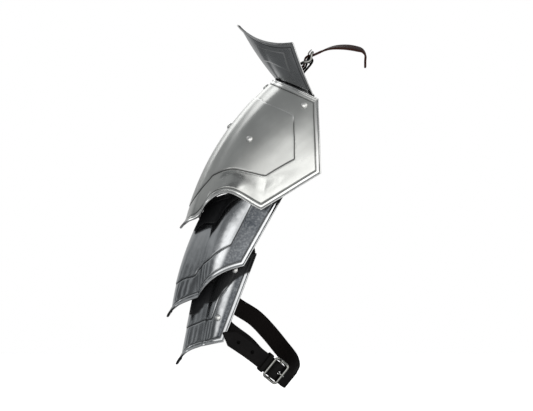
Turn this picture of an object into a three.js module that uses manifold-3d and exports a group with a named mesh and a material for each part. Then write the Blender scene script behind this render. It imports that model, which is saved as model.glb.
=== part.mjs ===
// Pauldron for the right arm: a fluted shoulder plate, a standing neck guard, two lames, the leathers that
// carry them, an arm strap with its buckle, and the shoulder strap that hangs the whole from a gorget.
// Millimetres, +Z up. X runs from the arm (-) to the neck (+) and Y from the chest (-) to the back (+).
// The origin is where the shoulder plate sits on the shoulder, 12 mm under its ridge.
// Plates are named by columns and stations: column 0 is the ridge, 1 the crease beside it, 2 the free edge
// at the chest, and the back half mirrors the front. A station is a place along the arm.

import * as THREE from "three";
import { mergeVertices } from "three/addons/utils/BufferGeometryUtils.js";
import Module from "manifold-3d";

const wasm = await Module();
wasm.setup();

// Driving dimensions.
const STEEL = 1.2; // wall of every plate
const HIDE = 2.2; // thickness of every leather
const GAP = 0.35; // play between pieces that touch
const PLAY = 1; // play between a curved plate and the leather under it
const STRAP_PLAY = 2.4; // play between the lower lame and the flat strap under it
const RIM = 6; // width of the turned-out border of a plate
const RIM_RISE = 1.6; // how far a border stands proud at its edge
const TIP_FLARE = 4.5; // how far the point at the foot of a ridge turns out
const STRAP_WIDTH = 19;
const LEATHER_WIDTH = 24; // the inner leathers
const GUARD_FLANGE = 19; // how far the neck guard reaches down inside the shoulder plate
const RIVET_HEAD = 3.6; // radius
const RIVET_DOME = 2.2; // height
const RIVET_SHANK = 1.5; // radius
const BURR = 3.4; // radius of the washer that a rivet is closed on
const BURR_THICK = 0.9;
const HOLE_PLAY = 0.35; // radial play of a rivet in its holes

const at = (x, y, z) => new THREE.Vector3(x, y, z);
const radians = (degrees) => (degrees * Math.PI) / 180;
const mix = (a, b, t) => a + (b - a) * t;
const quadratic = (a, b, c) => (t) => a + b * t + c * t * t;
const rounding = (column) => 1 - Math.cos(radians(90 * (column - 1))); // share of the way from crease to edge

// ---------------------------------------------------------------- plates

// A plate's stations fan out round a pivot, as over the shoulder, or run straight down the arm.
const fan = (pivotX, pivotZ, from, sweep) => (station) => {
  const angle = radians(from + sweep * station);
  return { x: pivotX, z: pivotZ, outX: Math.cos(angle), outZ: Math.sin(angle) };
};
const ramp = (anchorX, anchorZ, tilt) => (station) => ({
  x: anchorX - Math.sin(radians(tilt)) * station,
  z: anchorZ - Math.cos(radians(tilt)) * station,
  outX: -Math.cos(radians(tilt)),
  outZ: Math.sin(radians(tilt)),
});

// ridge, crease and edge are distances outwards; creaseDepth and edgeDepth are distances before the ridge.
const SHOULDER_CUSP = 1.69; // column of the front cusp
const shoulderRidge = quadratic(158, 61, 42);
const shoulderPlate = {
  frame: fan(148, -55, 155.7, 46),
  ridge: shoulderRidge,
  crease: (v) => shoulderRidge(v) - 7 - 11 * v,
  edge: quadratic(105.3, -37.6, 32.8),
  creaseDepth: quadratic(22, 45, -21),
  edgeDepth: quadratic(64, 32, -16),
  top: () => 0,
  // A point at the ridge, a scallop from the crease to the front cusp, and a straight run to the edge.
  bottom: (column) => {
    if (column <= 1) return mix(1, 0.978, column) - 0.012 * Math.sin(Math.PI * column);
    const cusp = rounding(SHOULDER_CUSP);
    const share = rounding(column) / cusp;
    if (share <= 1) return mix(0.978, 1.089, share) - 0.131 * Math.sin(Math.PI * share ** 0.7);
    const past = (rounding(column) - cusp) / (1 - cusp);
    return mix(1.089, 0.996, past) + 0.011 * Math.sin(Math.PI * past);
  },
};
const brow = (column, crease, edge) => mix(crease, edge, Math.sin(radians(90 * (column - 1) ** 0.8)));

const upperLame = {
  frame: ramp(-83.7, -155.6, 20),
  ridge: quadratic(0, 0.0641, -0.001572),
  crease: quadratic(-19, 0, -0.0027),
  edge: quadratic(-66.8, 0.164, 0),
  creaseDepth: quadratic(38, -0.05, 0),
  edgeDepth: quadratic(64, -0.06, 0),
  top: (column) => (column <= 1 ? mix(-30, -56, column) : brow(column, -56, -80)),
  bottom: (column) => {
    if (column <= 1) return mix(95.5, 63.7, column);
    const share = rounding(column);
    return mix(63.7, 14.5, share) - 5 * Math.sin(Math.PI * share);
  },
};

const lowerLame = {
  frame: ramp(-85, -230, 14),
  ridge: quadratic(0, -0.05, 0),
  crease: quadratic(-20, 0, -0.0012),
  edge: quadratic(-48.1, 0.118, 0),
  creaseDepth: quadratic(32, -0.04, 0),
  edgeDepth: quadratic(53, -0.05, 0),
  top: (column) => (column <= 1 ? mix(-24, -32, column) : brow(column, -32, -66)),
  bottom: (column) => {
    if (column <= 1) return mix(71.5, 45, column) - 2 * Math.sin(Math.PI * column);
    return mix(45, 34, rounding(column));
  },
};

const LOBE_BULGE = 0.8; // 0 makes the front lobe a flat facet, 1 a full quarter ellipse

// The point of a plate's outer face at a column and station. A negative column is on the back half.
function onPlate(plate, column, station) {
  const side = column < 0 ? 1 : -1;
  const across = Math.abs(column);
  const crease = plate.crease(station);
  const creaseDepth = plate.creaseDepth(station);
  let out, depth;
  if (across <= 1) {
    const angle = radians(90 * (1 - across));
    out = crease + (plate.ridge(station) - crease) * Math.sin(angle);
    depth = creaseDepth * Math.cos(angle);
  } else {
    const share = rounding(across);
    const lobe = mix(share, Math.sin(radians(90 * (across - 1))), LOBE_BULGE);
    out = crease + (plate.edge(station) - crease) * share;
    depth = creaseDepth + (plate.edgeDepth(station) - creaseDepth) * lobe;
  }
  const f = plate.frame(station);
  return new THREE.Vector3(f.x + f.outX * out, side * depth, f.z + f.outZ * out);
}

// How fast a plate's face runs along its columns or its stations, in mm for each unit.
function slope(plate, column, station, along) {
  const step = along === "column" ? 0.02 : 1e-3 * Math.max(1, plate.bottom(0));
  const [dc, ds] = along === "column" ? [step, 0] : [0, step];
  const ahead = onPlate(plate, column + dc, station + ds);
  return ahead.sub(onPlate(plate, column - dc, station - ds)).divideScalar(2 * step);
}

const outwardAt = (plate, column, station) =>
  slope(plate, column, station, "station").cross(slope(plate, column, station, "column")).normalize();

// The point a given depth under a plate's outer face.
const under = (plate, column, station, depth) =>
  onPlate(plate, column, station).addScaledVector(outwardAt(plate, column, station), -depth);

// ---------------------------------------------------------------- sheets

// The outward normal at each point of a grid of points, from its neighbours.
function normalsOf(grid) {
  const last = grid.length - 1;
  const end = grid[0].length - 1;
  return grid.map((line, i) =>
    line.map((_, j) => {
      const across = grid[Math.min(i + 1, last)][j].clone().sub(grid[Math.max(i - 1, 0)][j]);
      const along = line[Math.min(j + 1, end)].clone().sub(line[Math.max(j - 1, 0)]);
      return across.cross(along).normalize();
    }),
  );
}

// A closed sheet between two grids of the same size: the outer one first.
function closedSheet(outer, inner) {
  const lines = outer.length;
  const length = outer[0].length;
  const positions = [...outer, ...inner].flatMap((line) => line.flatMap((p) => p.toArray()));
  const indices = [];
  const id = (skin, i, j) => (skin * lines + i) * length + j;
  const quad = (a, b, c, d) => indices.push(a, b, c, a, c, d);
  for (let i = 0; i + 1 < lines; i++) {
    for (let j = 0; j + 1 < length; j++) {
      quad(id(0, i, j), id(0, i + 1, j), id(0, i + 1, j + 1), id(0, i, j + 1));
      quad(id(1, i, j), id(1, i, j + 1), id(1, i + 1, j + 1), id(1, i + 1, j));
    }
    quad(id(0, i, 0), id(1, i, 0), id(1, i + 1, 0), id(0, i + 1, 0));
    quad(id(0, i, length - 1), id(0, i + 1, length - 1), id(1, i + 1, length - 1), id(1, i, length - 1));
  }
  for (let j = 0; j + 1 < length; j++) {
    quad(id(0, 0, j), id(0, 0, j + 1), id(1, 0, j + 1), id(1, 0, j));
    quad(id(0, lines - 1, j), id(1, lines - 1, j), id(1, lines - 1, j + 1), id(0, lines - 1, j + 1));
  }
  const geometry = new THREE.BufferGeometry();
  geometry.setAttribute("position", new THREE.Float32BufferAttribute(positions, 3));
  geometry.setIndex(indices);
  return geometry;
}

// A sheet whose faces lie above and below a grid of points.
function sheet(grid, above, below) {
  const normals = normalsOf(grid);
  const moved = (distance) =>
    grid.map((line, i) => line.map((p, j) => p.clone().addScaledVector(normals[i][j], distance)));
  return closedSheet(moved(above), moved(-below));
}

const mirrored = (columns) => [...columns.slice().reverse(), ...columns.slice(1).map((c) => -c)];
const CREASED_COLUMNS = [0, 0.25, 0.5, 0.75, 0.92, 1, 1.08, 1.2, 1.34, 1.48, 1.6, SHOULDER_CUSP, 1.8, 1.9];

// Where a row lies on a line of a plate: borders of a fixed width, and even rows between them.
function stationsOf(plate, column, rows) {
  const top = plate.top(Math.abs(column));
  const bottom = plate.bottom(Math.abs(column));
  const length = slope(plate, column, (top + bottom) / 2, "station").length();
  const rim = RIM / length;
  const inner = Array.from({ length: rows }, (_, k) => mix(top + rim, bottom - rim, k / (rows - 1)));
  return [top, ...inner, bottom];
}

// A plate as a grid of points on its outer face, with its borders turned out.
function plateGrid(plate, rows) {
  const edgeLength = slope(plate, 1.98, plate.bottom(2) / 2, "column").length();
  const columns = mirrored([...CREASED_COLUMNS, 2 - RIM / edgeLength, 2].sort((a, b) => a - b));
  const grid = columns.map((column) => {
    return stationsOf(plate, column, rows).map((station) => onPlate(plate, column, station));
  });
  const normals = normalsOf(grid);
  return grid.map((line, i) => {
    const across = Math.abs(columns[i]);
    return line.map((p, j) => {
      const foot = j === line.length - 1;
      const border = j === 0 || foot || across === 2;
      const point = foot ? (TIP_FLARE - RIM_RISE) * Math.max(0, 1 - across * 1.6) : 0;
      return p.clone().addScaledVector(normals[i][j], border ? RIM_RISE + point : 0);
    });
  });
}

// ---------------------------------------------------------------- solids

function solidOf(geometry) {
  const bare = geometry.clone();
  bare.deleteAttribute("normal");
  bare.deleteAttribute("uv");
  const merged = mergeVertices(bare, 1e-4);
  return new wasm.Manifold(
    new wasm.Mesh({
      numProp: 3,
      vertProperties: merged.attributes.position.array,
      triVerts: new Uint32Array(merged.index.array),
    }),
  );
}

function geometryOf(solid) {
  const mesh = solid.getMesh();
  const geometry = new THREE.BufferGeometry();
  geometry.setAttribute("position", new THREE.BufferAttribute(new Float32Array(mesh.vertProperties), 3));
  geometry.setIndex(new THREE.BufferAttribute(new Uint32Array(mesh.triVerts), 1));
  return geometry;
}

const without = (geometry, tools) =>
  geometryOf(tools.reduce((solid, tool) => solid.subtract(solidOf(tool)), solidOf(geometry)));
const joined = (pieces) => geometryOf(pieces.map(solidOf).reduce((whole, piece) => whole.add(piece)));

// Turns a geometry made along +Y so that +Y points along a direction, and moves it to a point.
function stand(geometry, point, direction) {
  const turn = new THREE.Quaternion().setFromUnitVectors(new THREE.Vector3(0, 1, 0), direction);
  return geometry.applyQuaternion(turn).translate(point.x, point.y, point.z);
}

// ---------------------------------------------------------------- rivets

// Each rivet is at a column and station of a plate, and is closed at a depth under its face.
const GRIP_LEATHER = STEEL + PLAY + HIDE + 3 * GAP;
const GRIP_STRAP = STEEL + STRAP_PLAY + HIDE + 5 * GAP;
const GRIP_GUARD = STEEL + GAP + STEEL + 2 * GAP;
const rivets = [];
const addRivet = (name, plate, column, station, grip) => rivets.push({ name, plate, column, station, grip });
const SIDES = [
  ["front", 1],
  ["ridge", 0],
  ["back", -1],
];
for (const [side, sign] of SIDES) {
  const onRidge = side === "ridge";
  const guardGrip = onRidge ? GRIP_GUARD + HIDE + PLAY : GRIP_GUARD;
  addRivet(`guard_rivet_${side}`, shoulderPlate, sign * 1.815, onRidge ? 0.075 : 0.13, guardGrip);
  addRivet(`plate_rivet_${side}`, shoulderPlate, sign * 1.41, onRidge ? 0.43 : 0.526, GRIP_LEATHER);
  addRivet(`upper_lame_rivet_${side}`, upperLame, sign * 1.5, onRidge ? -20 : -62, GRIP_LEATHER);
  addRivet(`lower_lame_rivet_${side}`, lowerLame, sign * 1.66, onRidge ? -13 : -44.5, GRIP_LEATHER);
}
const STRAP_RIVET_COLUMN = 1.62;
addRivet("strap_rivet_front", lowerLame, STRAP_RIVET_COLUMN, 10.3, GRIP_STRAP);
addRivet("strap_rivet_back", lowerLame, -STRAP_RIVET_COLUMN, -14, GRIP_STRAP);

function rivetGeometry(grip) {
  const profile = [new THREE.Vector2(0, GAP + RIVET_DOME)];
  for (const angle of [50, 20, 0]) {
    const rise = RIVET_DOME * Math.sin(radians(angle));
    profile.push(new THREE.Vector2(RIVET_HEAD * Math.cos(radians(angle)), GAP + rise));
  }
  profile.push(new THREE.Vector2(RIVET_SHANK, GAP));
  profile.push(new THREE.Vector2(RIVET_SHANK, -grip));
  profile.push(new THREE.Vector2(BURR, -grip));
  profile.push(new THREE.Vector2(BURR, -grip - BURR_THICK));
  profile.push(new THREE.Vector2(0, -grip - BURR_THICK));
  return new THREE.LatheGeometry(profile.reverse(), 8);
}

const rivetPlace = (r) => [onPlate(r.plate, r.column, r.station), outwardAt(r.plate, r.column, r.station)];
const HOLE_REACH = 30;
function rivetHole(name) {
  const rivet = rivets.find((r) => r.name === name);
  const hole = new THREE.CylinderGeometry(RIVET_SHANK + HOLE_PLAY, RIVET_SHANK + HOLE_PLAY, HOLE_REACH, 10);
  return stand(hole, ...rivetPlace(rivet));
}
const holes = (...names) => names.map(rivetHole);
const holesOnAllSides = (stem) => holes(...SIDES.map(([side]) => `${stem}_${side}`));

// ---------------------------------------------------------------- neck guard

// The guard's top edge, from the point over the ridge to the corner at the chest.
const guardBrow = new THREE.CubicBezierCurve3(
  at(-34.6, 0, 72),
  at(-26, -26, 60),
  at(-2, -56, 45),
  at(25, -72, 49.5),
);
const GUARD_FOLD = -0.018; // station just past the shoulder plate's top edge, where the guard folds up
const GUARD_END = 1.93; // the guard stops short of the shoulder plate's free edge
const GUARD_DEPTH = STEEL + GAP; // its flange lies just inside the shoulder plate
const FLANGE_ROWS = 3;
const WALL_ROWS = 7;

function guardLine(column) {
  const across = Math.abs(column);
  const length = slope(shoulderPlate, column, 0.1, "station").length();
  const foot = GUARD_FLANGE / length;
  const line = [];
  for (let k = 0; k <= FLANGE_ROWS; k++) {
    line.push(under(shoulderPlate, column, mix(foot, GUARD_FOLD, k / FLANGE_ROWS), GUARD_DEPTH));
  }
  const brow = guardBrow.getPoint(across / GUARD_END);
  if (column < 0) brow.y *= -1;
  const fold = line[FLANGE_ROWS];
  for (let k = 1; k <= WALL_ROWS; k++) line.push(fold.clone().lerp(brow, k / WALL_ROWS));
  return line.reverse();
}

function guardGeometry() {
  const columns = [0, 0.3, 0.6, 0.85, 1, 1.15, 1.3, 1.45, 1.6, 1.75, GUARD_END];
  return sheet(mirrored(columns).map(guardLine), 0, STEEL);
}

// ---------------------------------------------------------------- inner leathers

// A leather is riveted under the three plates in turn. Each stop is a plate, column, station and depth.
const LEATHER_LINES = 2; // strips across a leather
const LEATHER_STEPS = 18;
const SNUG = STEEL + PLAY; // depth of a leather's outer face where it is riveted

function leatherGrid(stops) {
  const lines = [];
  for (let k = 0; k <= LEATHER_LINES; k++) {
    const offset = LEATHER_WIDTH * (0.5 - k / LEATHER_LINES);
    const route = stops.map(([plate, column, station, depth]) => {
      const width = slope(plate, column, station, "column").length();
      return under(plate, column + offset / width, station, depth);
    });
    lines.push(new THREE.CatmullRomCurve3(route, false, "centripetal").getPoints(LEATHER_STEPS));
  }
  return lines;
}

const ridgeStops = [
  [shoulderPlate, 0, 0.38, SNUG],
  [shoulderPlate, 0, 0.5, SNUG],
  [shoulderPlate, 0, 0.64, SNUG + 5],
  [upperLame, 0, -36, SNUG + 2.5],
  [upperLame, 0, -20, SNUG],
  [upperLame, 0, 0, SNUG],
  [upperLame, 0, 34, SNUG + 9],
  [lowerLame, 0, -34, SNUG + 3],
  [lowerLame, 0, -20, SNUG + 0.2],
  [lowerLame, 0, -4, SNUG],
];
const frontStops = (sign) => [
  [shoulderPlate, sign * 1.41, 0.47, SNUG],
  [shoulderPlate, sign * 1.41, 0.58, SNUG + 0.5],
  [upperLame, sign * 1.5, -84, SNUG + 3],
  [upperLame, sign * 1.5, -66, SNUG],
  [upperLame, sign * 1.5, -50, SNUG],
  [upperLame, sign * 1.54, -20, SNUG + 4],
  [lowerLame, sign * 1.66, -68, SNUG + 2],
  [lowerLame, sign * 1.66, -50, SNUG],
  [lowerLame, sign * 1.66, -36, SNUG],
];
const leatherGeometry = (stops) => sheet(leatherGrid(stops), 0, HIDE);

// ---------------------------------------------------------------- buckles

const WIRE = 1.5; // radius of a buckle's wire
const FRAME_HALF = 8.5; // from a buckle's middle bar to the wire at each end of it
const FRAME_ACROSS = STRAP_WIDTH / 2 + 1 + WIRE; // from its middle to the wire at each side
const BAR_DROP = 4.5; // how far the middle bar lies below the wires at the ends
const PLIES_DROP = 7.2; // how far the middle between the chape's two plies lies below those wires
const PRONG = 1.1;
const PRONG_EYE = WIRE + GAP;
const WIRE_SIDES = 8;
const LAYER = HIDE + GAP;

// A buckle's own axes: +X along the strap towards its long end, +Y across it, +Z away from the wearer.
function buckleSeat(centre, along, across) {
  const x = along.clone().normalize();
  const y = across.clone().addScaledVector(x, -across.dot(x)).normalize();
  return new THREE.Matrix4().makeBasis(x, y, x.clone().cross(y)).setPosition(centre);
}

function rod(from, to, radius) {
  const reach = to.clone().sub(from);
  const middle = from.clone().add(to).multiplyScalar(0.5);
  const bar = new THREE.CylinderGeometry(radius, radius, reach.length(), WIRE_SIDES);
  return stand(bar, middle, reach.normalize());
}

// The frame's long sides dip in the middle, where they carry the bar that the chape is folded round.
function frameGeometry(seat) {
  const stops = [
    [-FRAME_HALF, -FRAME_ACROSS, 0],
    [0, -FRAME_ACROSS, -BAR_DROP],
    [FRAME_HALF, -FRAME_ACROSS, 0],
    [FRAME_HALF, FRAME_ACROSS, 0],
    [0, FRAME_ACROSS, -BAR_DROP],
    [-FRAME_HALF, FRAME_ACROSS, 0],
  ].map(([x, y, z]) => at(x, y, z));
  const pieces = stops.flatMap((stop, k) => {
    const knuckle = new THREE.SphereGeometry(WIRE * 1.05, WIRE_SIDES, 6).translate(stop.x, stop.y, stop.z);
    return [rod(stop, stops[(k + 1) % stops.length], WIRE), knuckle];
  });
  return joined([...pieces, rod(stops[1], stops[4], WIRE)]).applyMatrix4(seat);
}

// The prong turns on the middle bar and rests on the wire at the long end.
function prongGeometry(seat) {
  const root = at(PRONG_EYE + PRONG / 2, 0, PRONG - BAR_DROP);
  const knee = at(4.4, 0, 2.4);
  const rest = at(FRAME_HALF + WIRE + 0.3, 0, WIRE + GAP + PRONG + 0.2);
  const eye = new THREE.Shape().absarc(0, 0, PRONG_EYE + PRONG, 0, 2 * Math.PI);
  eye.holes.push(new THREE.Path().absarc(0, 0, PRONG_EYE, 0, 2 * Math.PI, true));
  const loop = new THREE.ExtrudeGeometry(eye, { depth: 2 * PRONG, bevelEnabled: false, curveSegments: 6 });
  loop.translate(0, 0, -PRONG).rotateX(Math.PI / 2).translate(0, 0, -BAR_DROP);
  const balls = [knee, rest].map((p) => new THREE.SphereGeometry(PRONG, WIRE_SIDES, 6).translate(p.x, 0, p.z));
  return joined([loop, rod(root, knee, PRONG), rod(knee, rest, PRONG), ...balls]).applyMatrix4(seat);
}

// ---------------------------------------------------------------- straps

const STRAP_LINES = 2; // strips across a strap
const POINTED = [1, 0.95, 0.62, 0.12]; // the width of a pointed end, step by step

// A strap lies along a route; acrossAt gives the way that its width runs, as nearly as the route allows.
function strapGeometry(route, acrossAt, steps, tip = []) {
  const curve = new THREE.CatmullRomCurve3(route, false, "centripetal");
  const lines = Array.from({ length: STRAP_LINES + 1 }, (_, k) =>
    Array.from({ length: steps + 1 }, (_, j) => {
      const along = curve.getTangent(j / steps);
      const across = acrossAt(j / steps);
      const side = across.addScaledVector(along, -across.dot(along)).normalize();
      const narrowing = tip[tip.length - 1 - (steps - j)] ?? 1;
      const offset = STRAP_WIDTH * narrowing * (0.5 - k / STRAP_LINES);
      return curve.getPoint(j / steps).addScaledVector(side, offset);
    }),
  );
  return sheet(lines, HIDE / 2, HIDE / 2);
}

// The chape's own route in a buckle's axes: its turned-back end, which climbs to the middle bar, the fold
// round the bar, and out again under it.
const foldRadius = WIRE + GAP + HIDE / 2;
const plyHeight = LAYER / 2;
const upperPly = plyHeight - PLIES_DROP;
const lowerPly = -plyHeight - PLIES_DROP;
const chapeFold = [
  at(-26, 0, upperPly),
  at(-18, 0, upperPly),
  at(-11, 0, upperPly),
  at(-8, 0, upperPly + 0.18),
  at(-5.86, 0, upperPly + 0.83),
  at(-3.4, 0, upperPly + 2.58),
  ...[127, 90, 45, 0, -45, -90].map((angle) => {
    const turn = radians(angle);
    return at(foldRadius * Math.cos(turn), 0, foldRadius * Math.sin(turn) - BAR_DROP);
  }),
  at(-5, 0, lowerPly + 0.35),
  at(-10, 0, lowerPly + 0.03),
  at(-18, 0, lowerPly),
  at(-26, 0, lowerPly),
];

// The long end comes in under the far wire, climbs over the middle bar, dips under the near wire and lies
// on the chape.
const topPly = upperPly + LAYER + 0.03;
const billetClimb = [
  at(19, 0, -4.4),
  at(FRAME_HALF, 0, -3.25),
  at(6.2, 0, -2.3),
  at(4.4, 0, -1),
  at(2.5, 0, 0.45),
  at(0, 0, 1.05),
  at(-2.3, 0, 0.55),
  at(-4.2, 0, -0.75),
  at(-7.39, 0, -3.05),
  at(-9.5, 0, topPly),
  at(-14, 0, topPly),
  at(-20, 0, topPly),
  at(-27, 0, topPly),
];
const placed = (points, seat) => points.map((p) => p.clone().applyMatrix4(seat));

// Slots for the prong, in a buckle's axes.
const SLOT_PLAY = 1.2;
const SLOT_DEPTH = 14;
function slotAt(x, z, length, seat) {
  const slot = new THREE.BoxGeometry(length, 2 * PRONG + SLOT_PLAY, SLOT_DEPTH);
  return slot.translate(x, 0, z).applyMatrix4(seat);
}
const chapeSlot = (seat) => slotAt(1, -BAR_DROP, 9.5, seat);
const billetSlot = (seat) => slotAt(3.5, 0, 10, seat);

// The keeper is a leather ring round the chape and the long end.
const KEEPER_WIDTH = 5;
const KEEPER_AT = -16; // its far side, in a buckle's axes
const KEEPER_WALL = 1.6;
function keeperGeometry(seat) {
  const half = STRAP_WIDTH / 2 + GAP;
  const low = lowerPly - HIDE / 2 - GAP - 0.3;
  const high = topPly + HIDE / 2 + GAP + 0.4;
  const ring = new THREE.Shape();
  ring.moveTo(-half - KEEPER_WALL, low - KEEPER_WALL);
  ring.lineTo(half + KEEPER_WALL, low - KEEPER_WALL);
  ring.lineTo(half + KEEPER_WALL, high + KEEPER_WALL);
  ring.lineTo(-half - KEEPER_WALL, high + KEEPER_WALL);
  const hole = new THREE.Path();
  hole.moveTo(-half, low);
  hole.lineTo(-half, high);
  hole.lineTo(half, high);
  hole.lineTo(half, low);
  ring.holes.push(hole);
  const geometry = new THREE.ExtrudeGeometry(ring, { depth: KEEPER_WIDTH, bevelEnabled: false });
  const turn = new THREE.Matrix4().makeBasis(at(0, 1, 0), at(0, 0, 1), at(1, 0, 0));
  return geometry.applyMatrix4(turn).translate(KEEPER_AT, 0, 0).applyMatrix4(seat);
}

// The arm strap hangs slack: down from the back of the lower lame, round, and up to its front.
// Its width turns to lie along the lame where it is riveted.
const armAcross = at(0.64, 0, 0.77);
const alongLame = (side) => at(0.53, -0.2 * side, 0.79);
const chapeAcross = (share) => armAcross.clone().lerp(alongLame(1), share ** 5);
const billetAcross = (share) => armAcross.clone().lerp(alongLame(-1), (1 - share) ** 6);
const armSeat = buckleSeat(at(6.5, -52, -304.9), at(0.75, 0.28, -0.6), armAcross);
const BEHIND_LAME = STEEL + STRAP_PLAY + HIDE / 2;
const armChapeRoute = [
  ...placed(chapeFold, armSeat),
  at(-26, -49.5, -276),
  under(lowerLame, 1.9, 19, BEHIND_LAME - 1),
  under(lowerLame, STRAP_RIVET_COLUMN, 10.3, BEHIND_LAME),
  under(lowerLame, 1.48, 5, BEHIND_LAME + 2.6),
];
const armBilletRoute = [
  under(lowerLame, -1.44, -20, BEHIND_LAME + 1.6),
  under(lowerLame, -STRAP_RIVET_COLUMN, -14, BEHIND_LAME),
  under(lowerLame, -1.9, -6, BEHIND_LAME - 0.5),
  at(-17, 48, -250),
  at(-3, 45, -264),
  at(12, 36, -282),
  at(23, 16, -296),
  at(26, -6, -306),
  at(23.5, -27, -312.5),
  ...placed(billetClimb, armSeat),
  at(-27, -57, -279),
  at(-42, -60, -269),
  at(-51, -60, -263.5),
];

// The shoulder strap arches from behind the neck guard towards the gorget.
// Its long end leans towards the chest at the top of the arch.
const LEAN = 11; // degrees
const shoulderAcross = () => at(0, 1, 0);
function shoulderLean(share) {
  const turn = radians(LEAN) * Math.sin(Math.PI * Math.min(Math.max((share - 0.06) / 0.36, 0), 1));
  return at(0, Math.cos(turn), Math.sin(turn));
}
const shoulderSeat = buckleSeat(at(40.3, 0, 34.7), at(1, 0, 1), shoulderAcross());
const BEHIND_GUARD = GRIP_GUARD - GAP + PLAY / 2 + HIDE / 2;
const shoulderChapeRoute = [
  ...placed(chapeFold.slice(0, -1), shoulderSeat),
  at(14, 0, 11.5),
  under(shoulderPlate, 0, 0.01, BEHIND_GUARD + 0.6),
  under(shoulderPlate, 0, 0.075, BEHIND_GUARD),
  under(shoulderPlate, 0, 0.14, BEHIND_GUARD + 0.4),
];
const shoulderStrapRoute = [
  at(104, 0, 24),
  at(104, 0, 31),
  at(104, 0, 38),
  at(100.5, 0, 42.8),
  at(94, 0, 44.9),
  at(84.6, 0, 46.4),
  at(72.7, 0, 46.4),
  at(63.4, 0, 44.6),
  ...placed(billetClimb.slice(1, -1), shoulderSeat),
];

// ---------------------------------------------------------------- assembly

const steel = new THREE.MeshStandardMaterial({ color: 0xb9bab8, metalness: 1, roughness: 0.3 });
const rivetSteel = new THREE.MeshStandardMaterial({ color: 0xdedede, metalness: 1, roughness: 0.2 });
const blackHide = new THREE.MeshStandardMaterial({ color: 0x141212, metalness: 0, roughness: 0.55 });
const brownHide = new THREE.MeshStandardMaterial({ color: 0x2e1712, metalness: 0, roughness: 0.5 });

const pauldron = new THREE.Group();
function add(name, geometry, material) {
  const mesh = new THREE.Mesh(geometry, material);
  mesh.name = name;
  pauldron.add(mesh);
}

const plateSheet = (plate, rows) => sheet(plateGrid(plate, rows), 0, STEEL);
const guardHoles = holesOnAllSides("guard_rivet");
const plateHoles = holesOnAllSides("plate_rivet");
const strapHoles = holes("strap_rivet_front", "strap_rivet_back");
const lowerHoles = [...holesOnAllSides("lower_lame_rivet"), ...strapHoles];
add("shoulder_plate", without(plateSheet(shoulderPlate, 11), [...guardHoles, ...plateHoles]), steel);
add("neck_guard", without(guardGeometry(), guardHoles), steel);
add("upper_lame", without(plateSheet(upperLame, 8), holesOnAllSides("upper_lame_rivet")), steel);
add("lower_lame", without(plateSheet(lowerLame, 8), lowerHoles), steel);
for (const [side, sign] of SIDES) {
  const stops = sign ? frontStops(sign) : ridgeStops;
  const cuts = holes(`plate_rivet_${side}`, `upper_lame_rivet_${side}`, `lower_lame_rivet_${side}`);
  add(`inner_leather_${side}`, without(leatherGeometry(stops), cuts), blackHide);
}
for (const rivet of rivets) {
  add(rivet.name, stand(rivetGeometry(rivet.grip), ...rivetPlace(rivet)), rivetSteel);
}

const armChape = strapGeometry(armChapeRoute, chapeAcross, 38);
add("arm_chape", without(armChape, [chapeSlot(armSeat), ...holes("strap_rivet_front")]), blackHide);
const armBillet = strapGeometry(armBilletRoute, billetAcross, 48, POINTED);
add("arm_billet", without(armBillet, [billetSlot(armSeat), ...holes("strap_rivet_back")]), blackHide);
add("arm_buckle", frameGeometry(armSeat), steel);
add("arm_buckle_prong", prongGeometry(armSeat), steel);
add("arm_keeper", keeperGeometry(armSeat), blackHide);

const shoulderChape = strapGeometry(shoulderChapeRoute, shoulderAcross, 36);
const shoulderCuts = [chapeSlot(shoulderSeat), ...holes("guard_rivet_ridge")];
add("shoulder_chape", without(shoulderChape, shoulderCuts), blackHide);
const shoulderStrap = strapGeometry(shoulderStrapRoute, shoulderLean, 36, POINTED);
add("shoulder_strap", without(shoulderStrap, [billetSlot(shoulderSeat)]), brownHide);
add("shoulder_buckle", frameGeometry(shoulderSeat), steel);
add("shoulder_buckle_prong", prongGeometry(shoulderSeat), steel);

export default pauldron;
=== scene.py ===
"""The finished look of a steel pauldron: plates, guard, rivets, leathers, straps, buckles and the studio.

Sizes are in millimetres and become metres when a mesh is made. X runs from the arm (-) to the neck (+),
Y from the chest (-) to the back (+) and Z up. A plate is described by columns and stations: column 0 is
its ridge, 1 the crease beside it and 2 its free edge at the chest, a negative column is on the back half,
and a station is a place along the arm.
"""

import sys
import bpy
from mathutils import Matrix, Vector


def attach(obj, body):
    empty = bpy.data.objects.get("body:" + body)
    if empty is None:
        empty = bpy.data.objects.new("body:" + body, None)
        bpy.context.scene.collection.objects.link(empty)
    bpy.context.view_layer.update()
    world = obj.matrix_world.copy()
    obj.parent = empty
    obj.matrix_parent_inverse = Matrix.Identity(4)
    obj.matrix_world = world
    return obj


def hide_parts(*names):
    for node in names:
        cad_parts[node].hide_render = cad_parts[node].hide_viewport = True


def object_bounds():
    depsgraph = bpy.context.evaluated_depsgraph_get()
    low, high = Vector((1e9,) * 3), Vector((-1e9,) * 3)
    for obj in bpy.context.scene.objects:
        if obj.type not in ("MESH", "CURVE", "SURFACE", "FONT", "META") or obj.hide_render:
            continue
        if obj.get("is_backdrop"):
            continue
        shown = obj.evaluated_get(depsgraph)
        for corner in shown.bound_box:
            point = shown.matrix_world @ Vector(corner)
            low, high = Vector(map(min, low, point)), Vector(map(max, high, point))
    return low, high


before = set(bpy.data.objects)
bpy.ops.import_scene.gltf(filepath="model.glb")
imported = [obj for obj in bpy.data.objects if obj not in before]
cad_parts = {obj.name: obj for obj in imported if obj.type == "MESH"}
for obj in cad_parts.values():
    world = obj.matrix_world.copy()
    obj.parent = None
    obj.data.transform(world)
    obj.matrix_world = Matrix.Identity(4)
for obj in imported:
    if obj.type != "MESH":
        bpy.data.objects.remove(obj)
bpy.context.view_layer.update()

import logging
import math
from collections.abc import Callable, Iterable, Sequence
from dataclasses import dataclass, field
from enum import Enum

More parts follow.
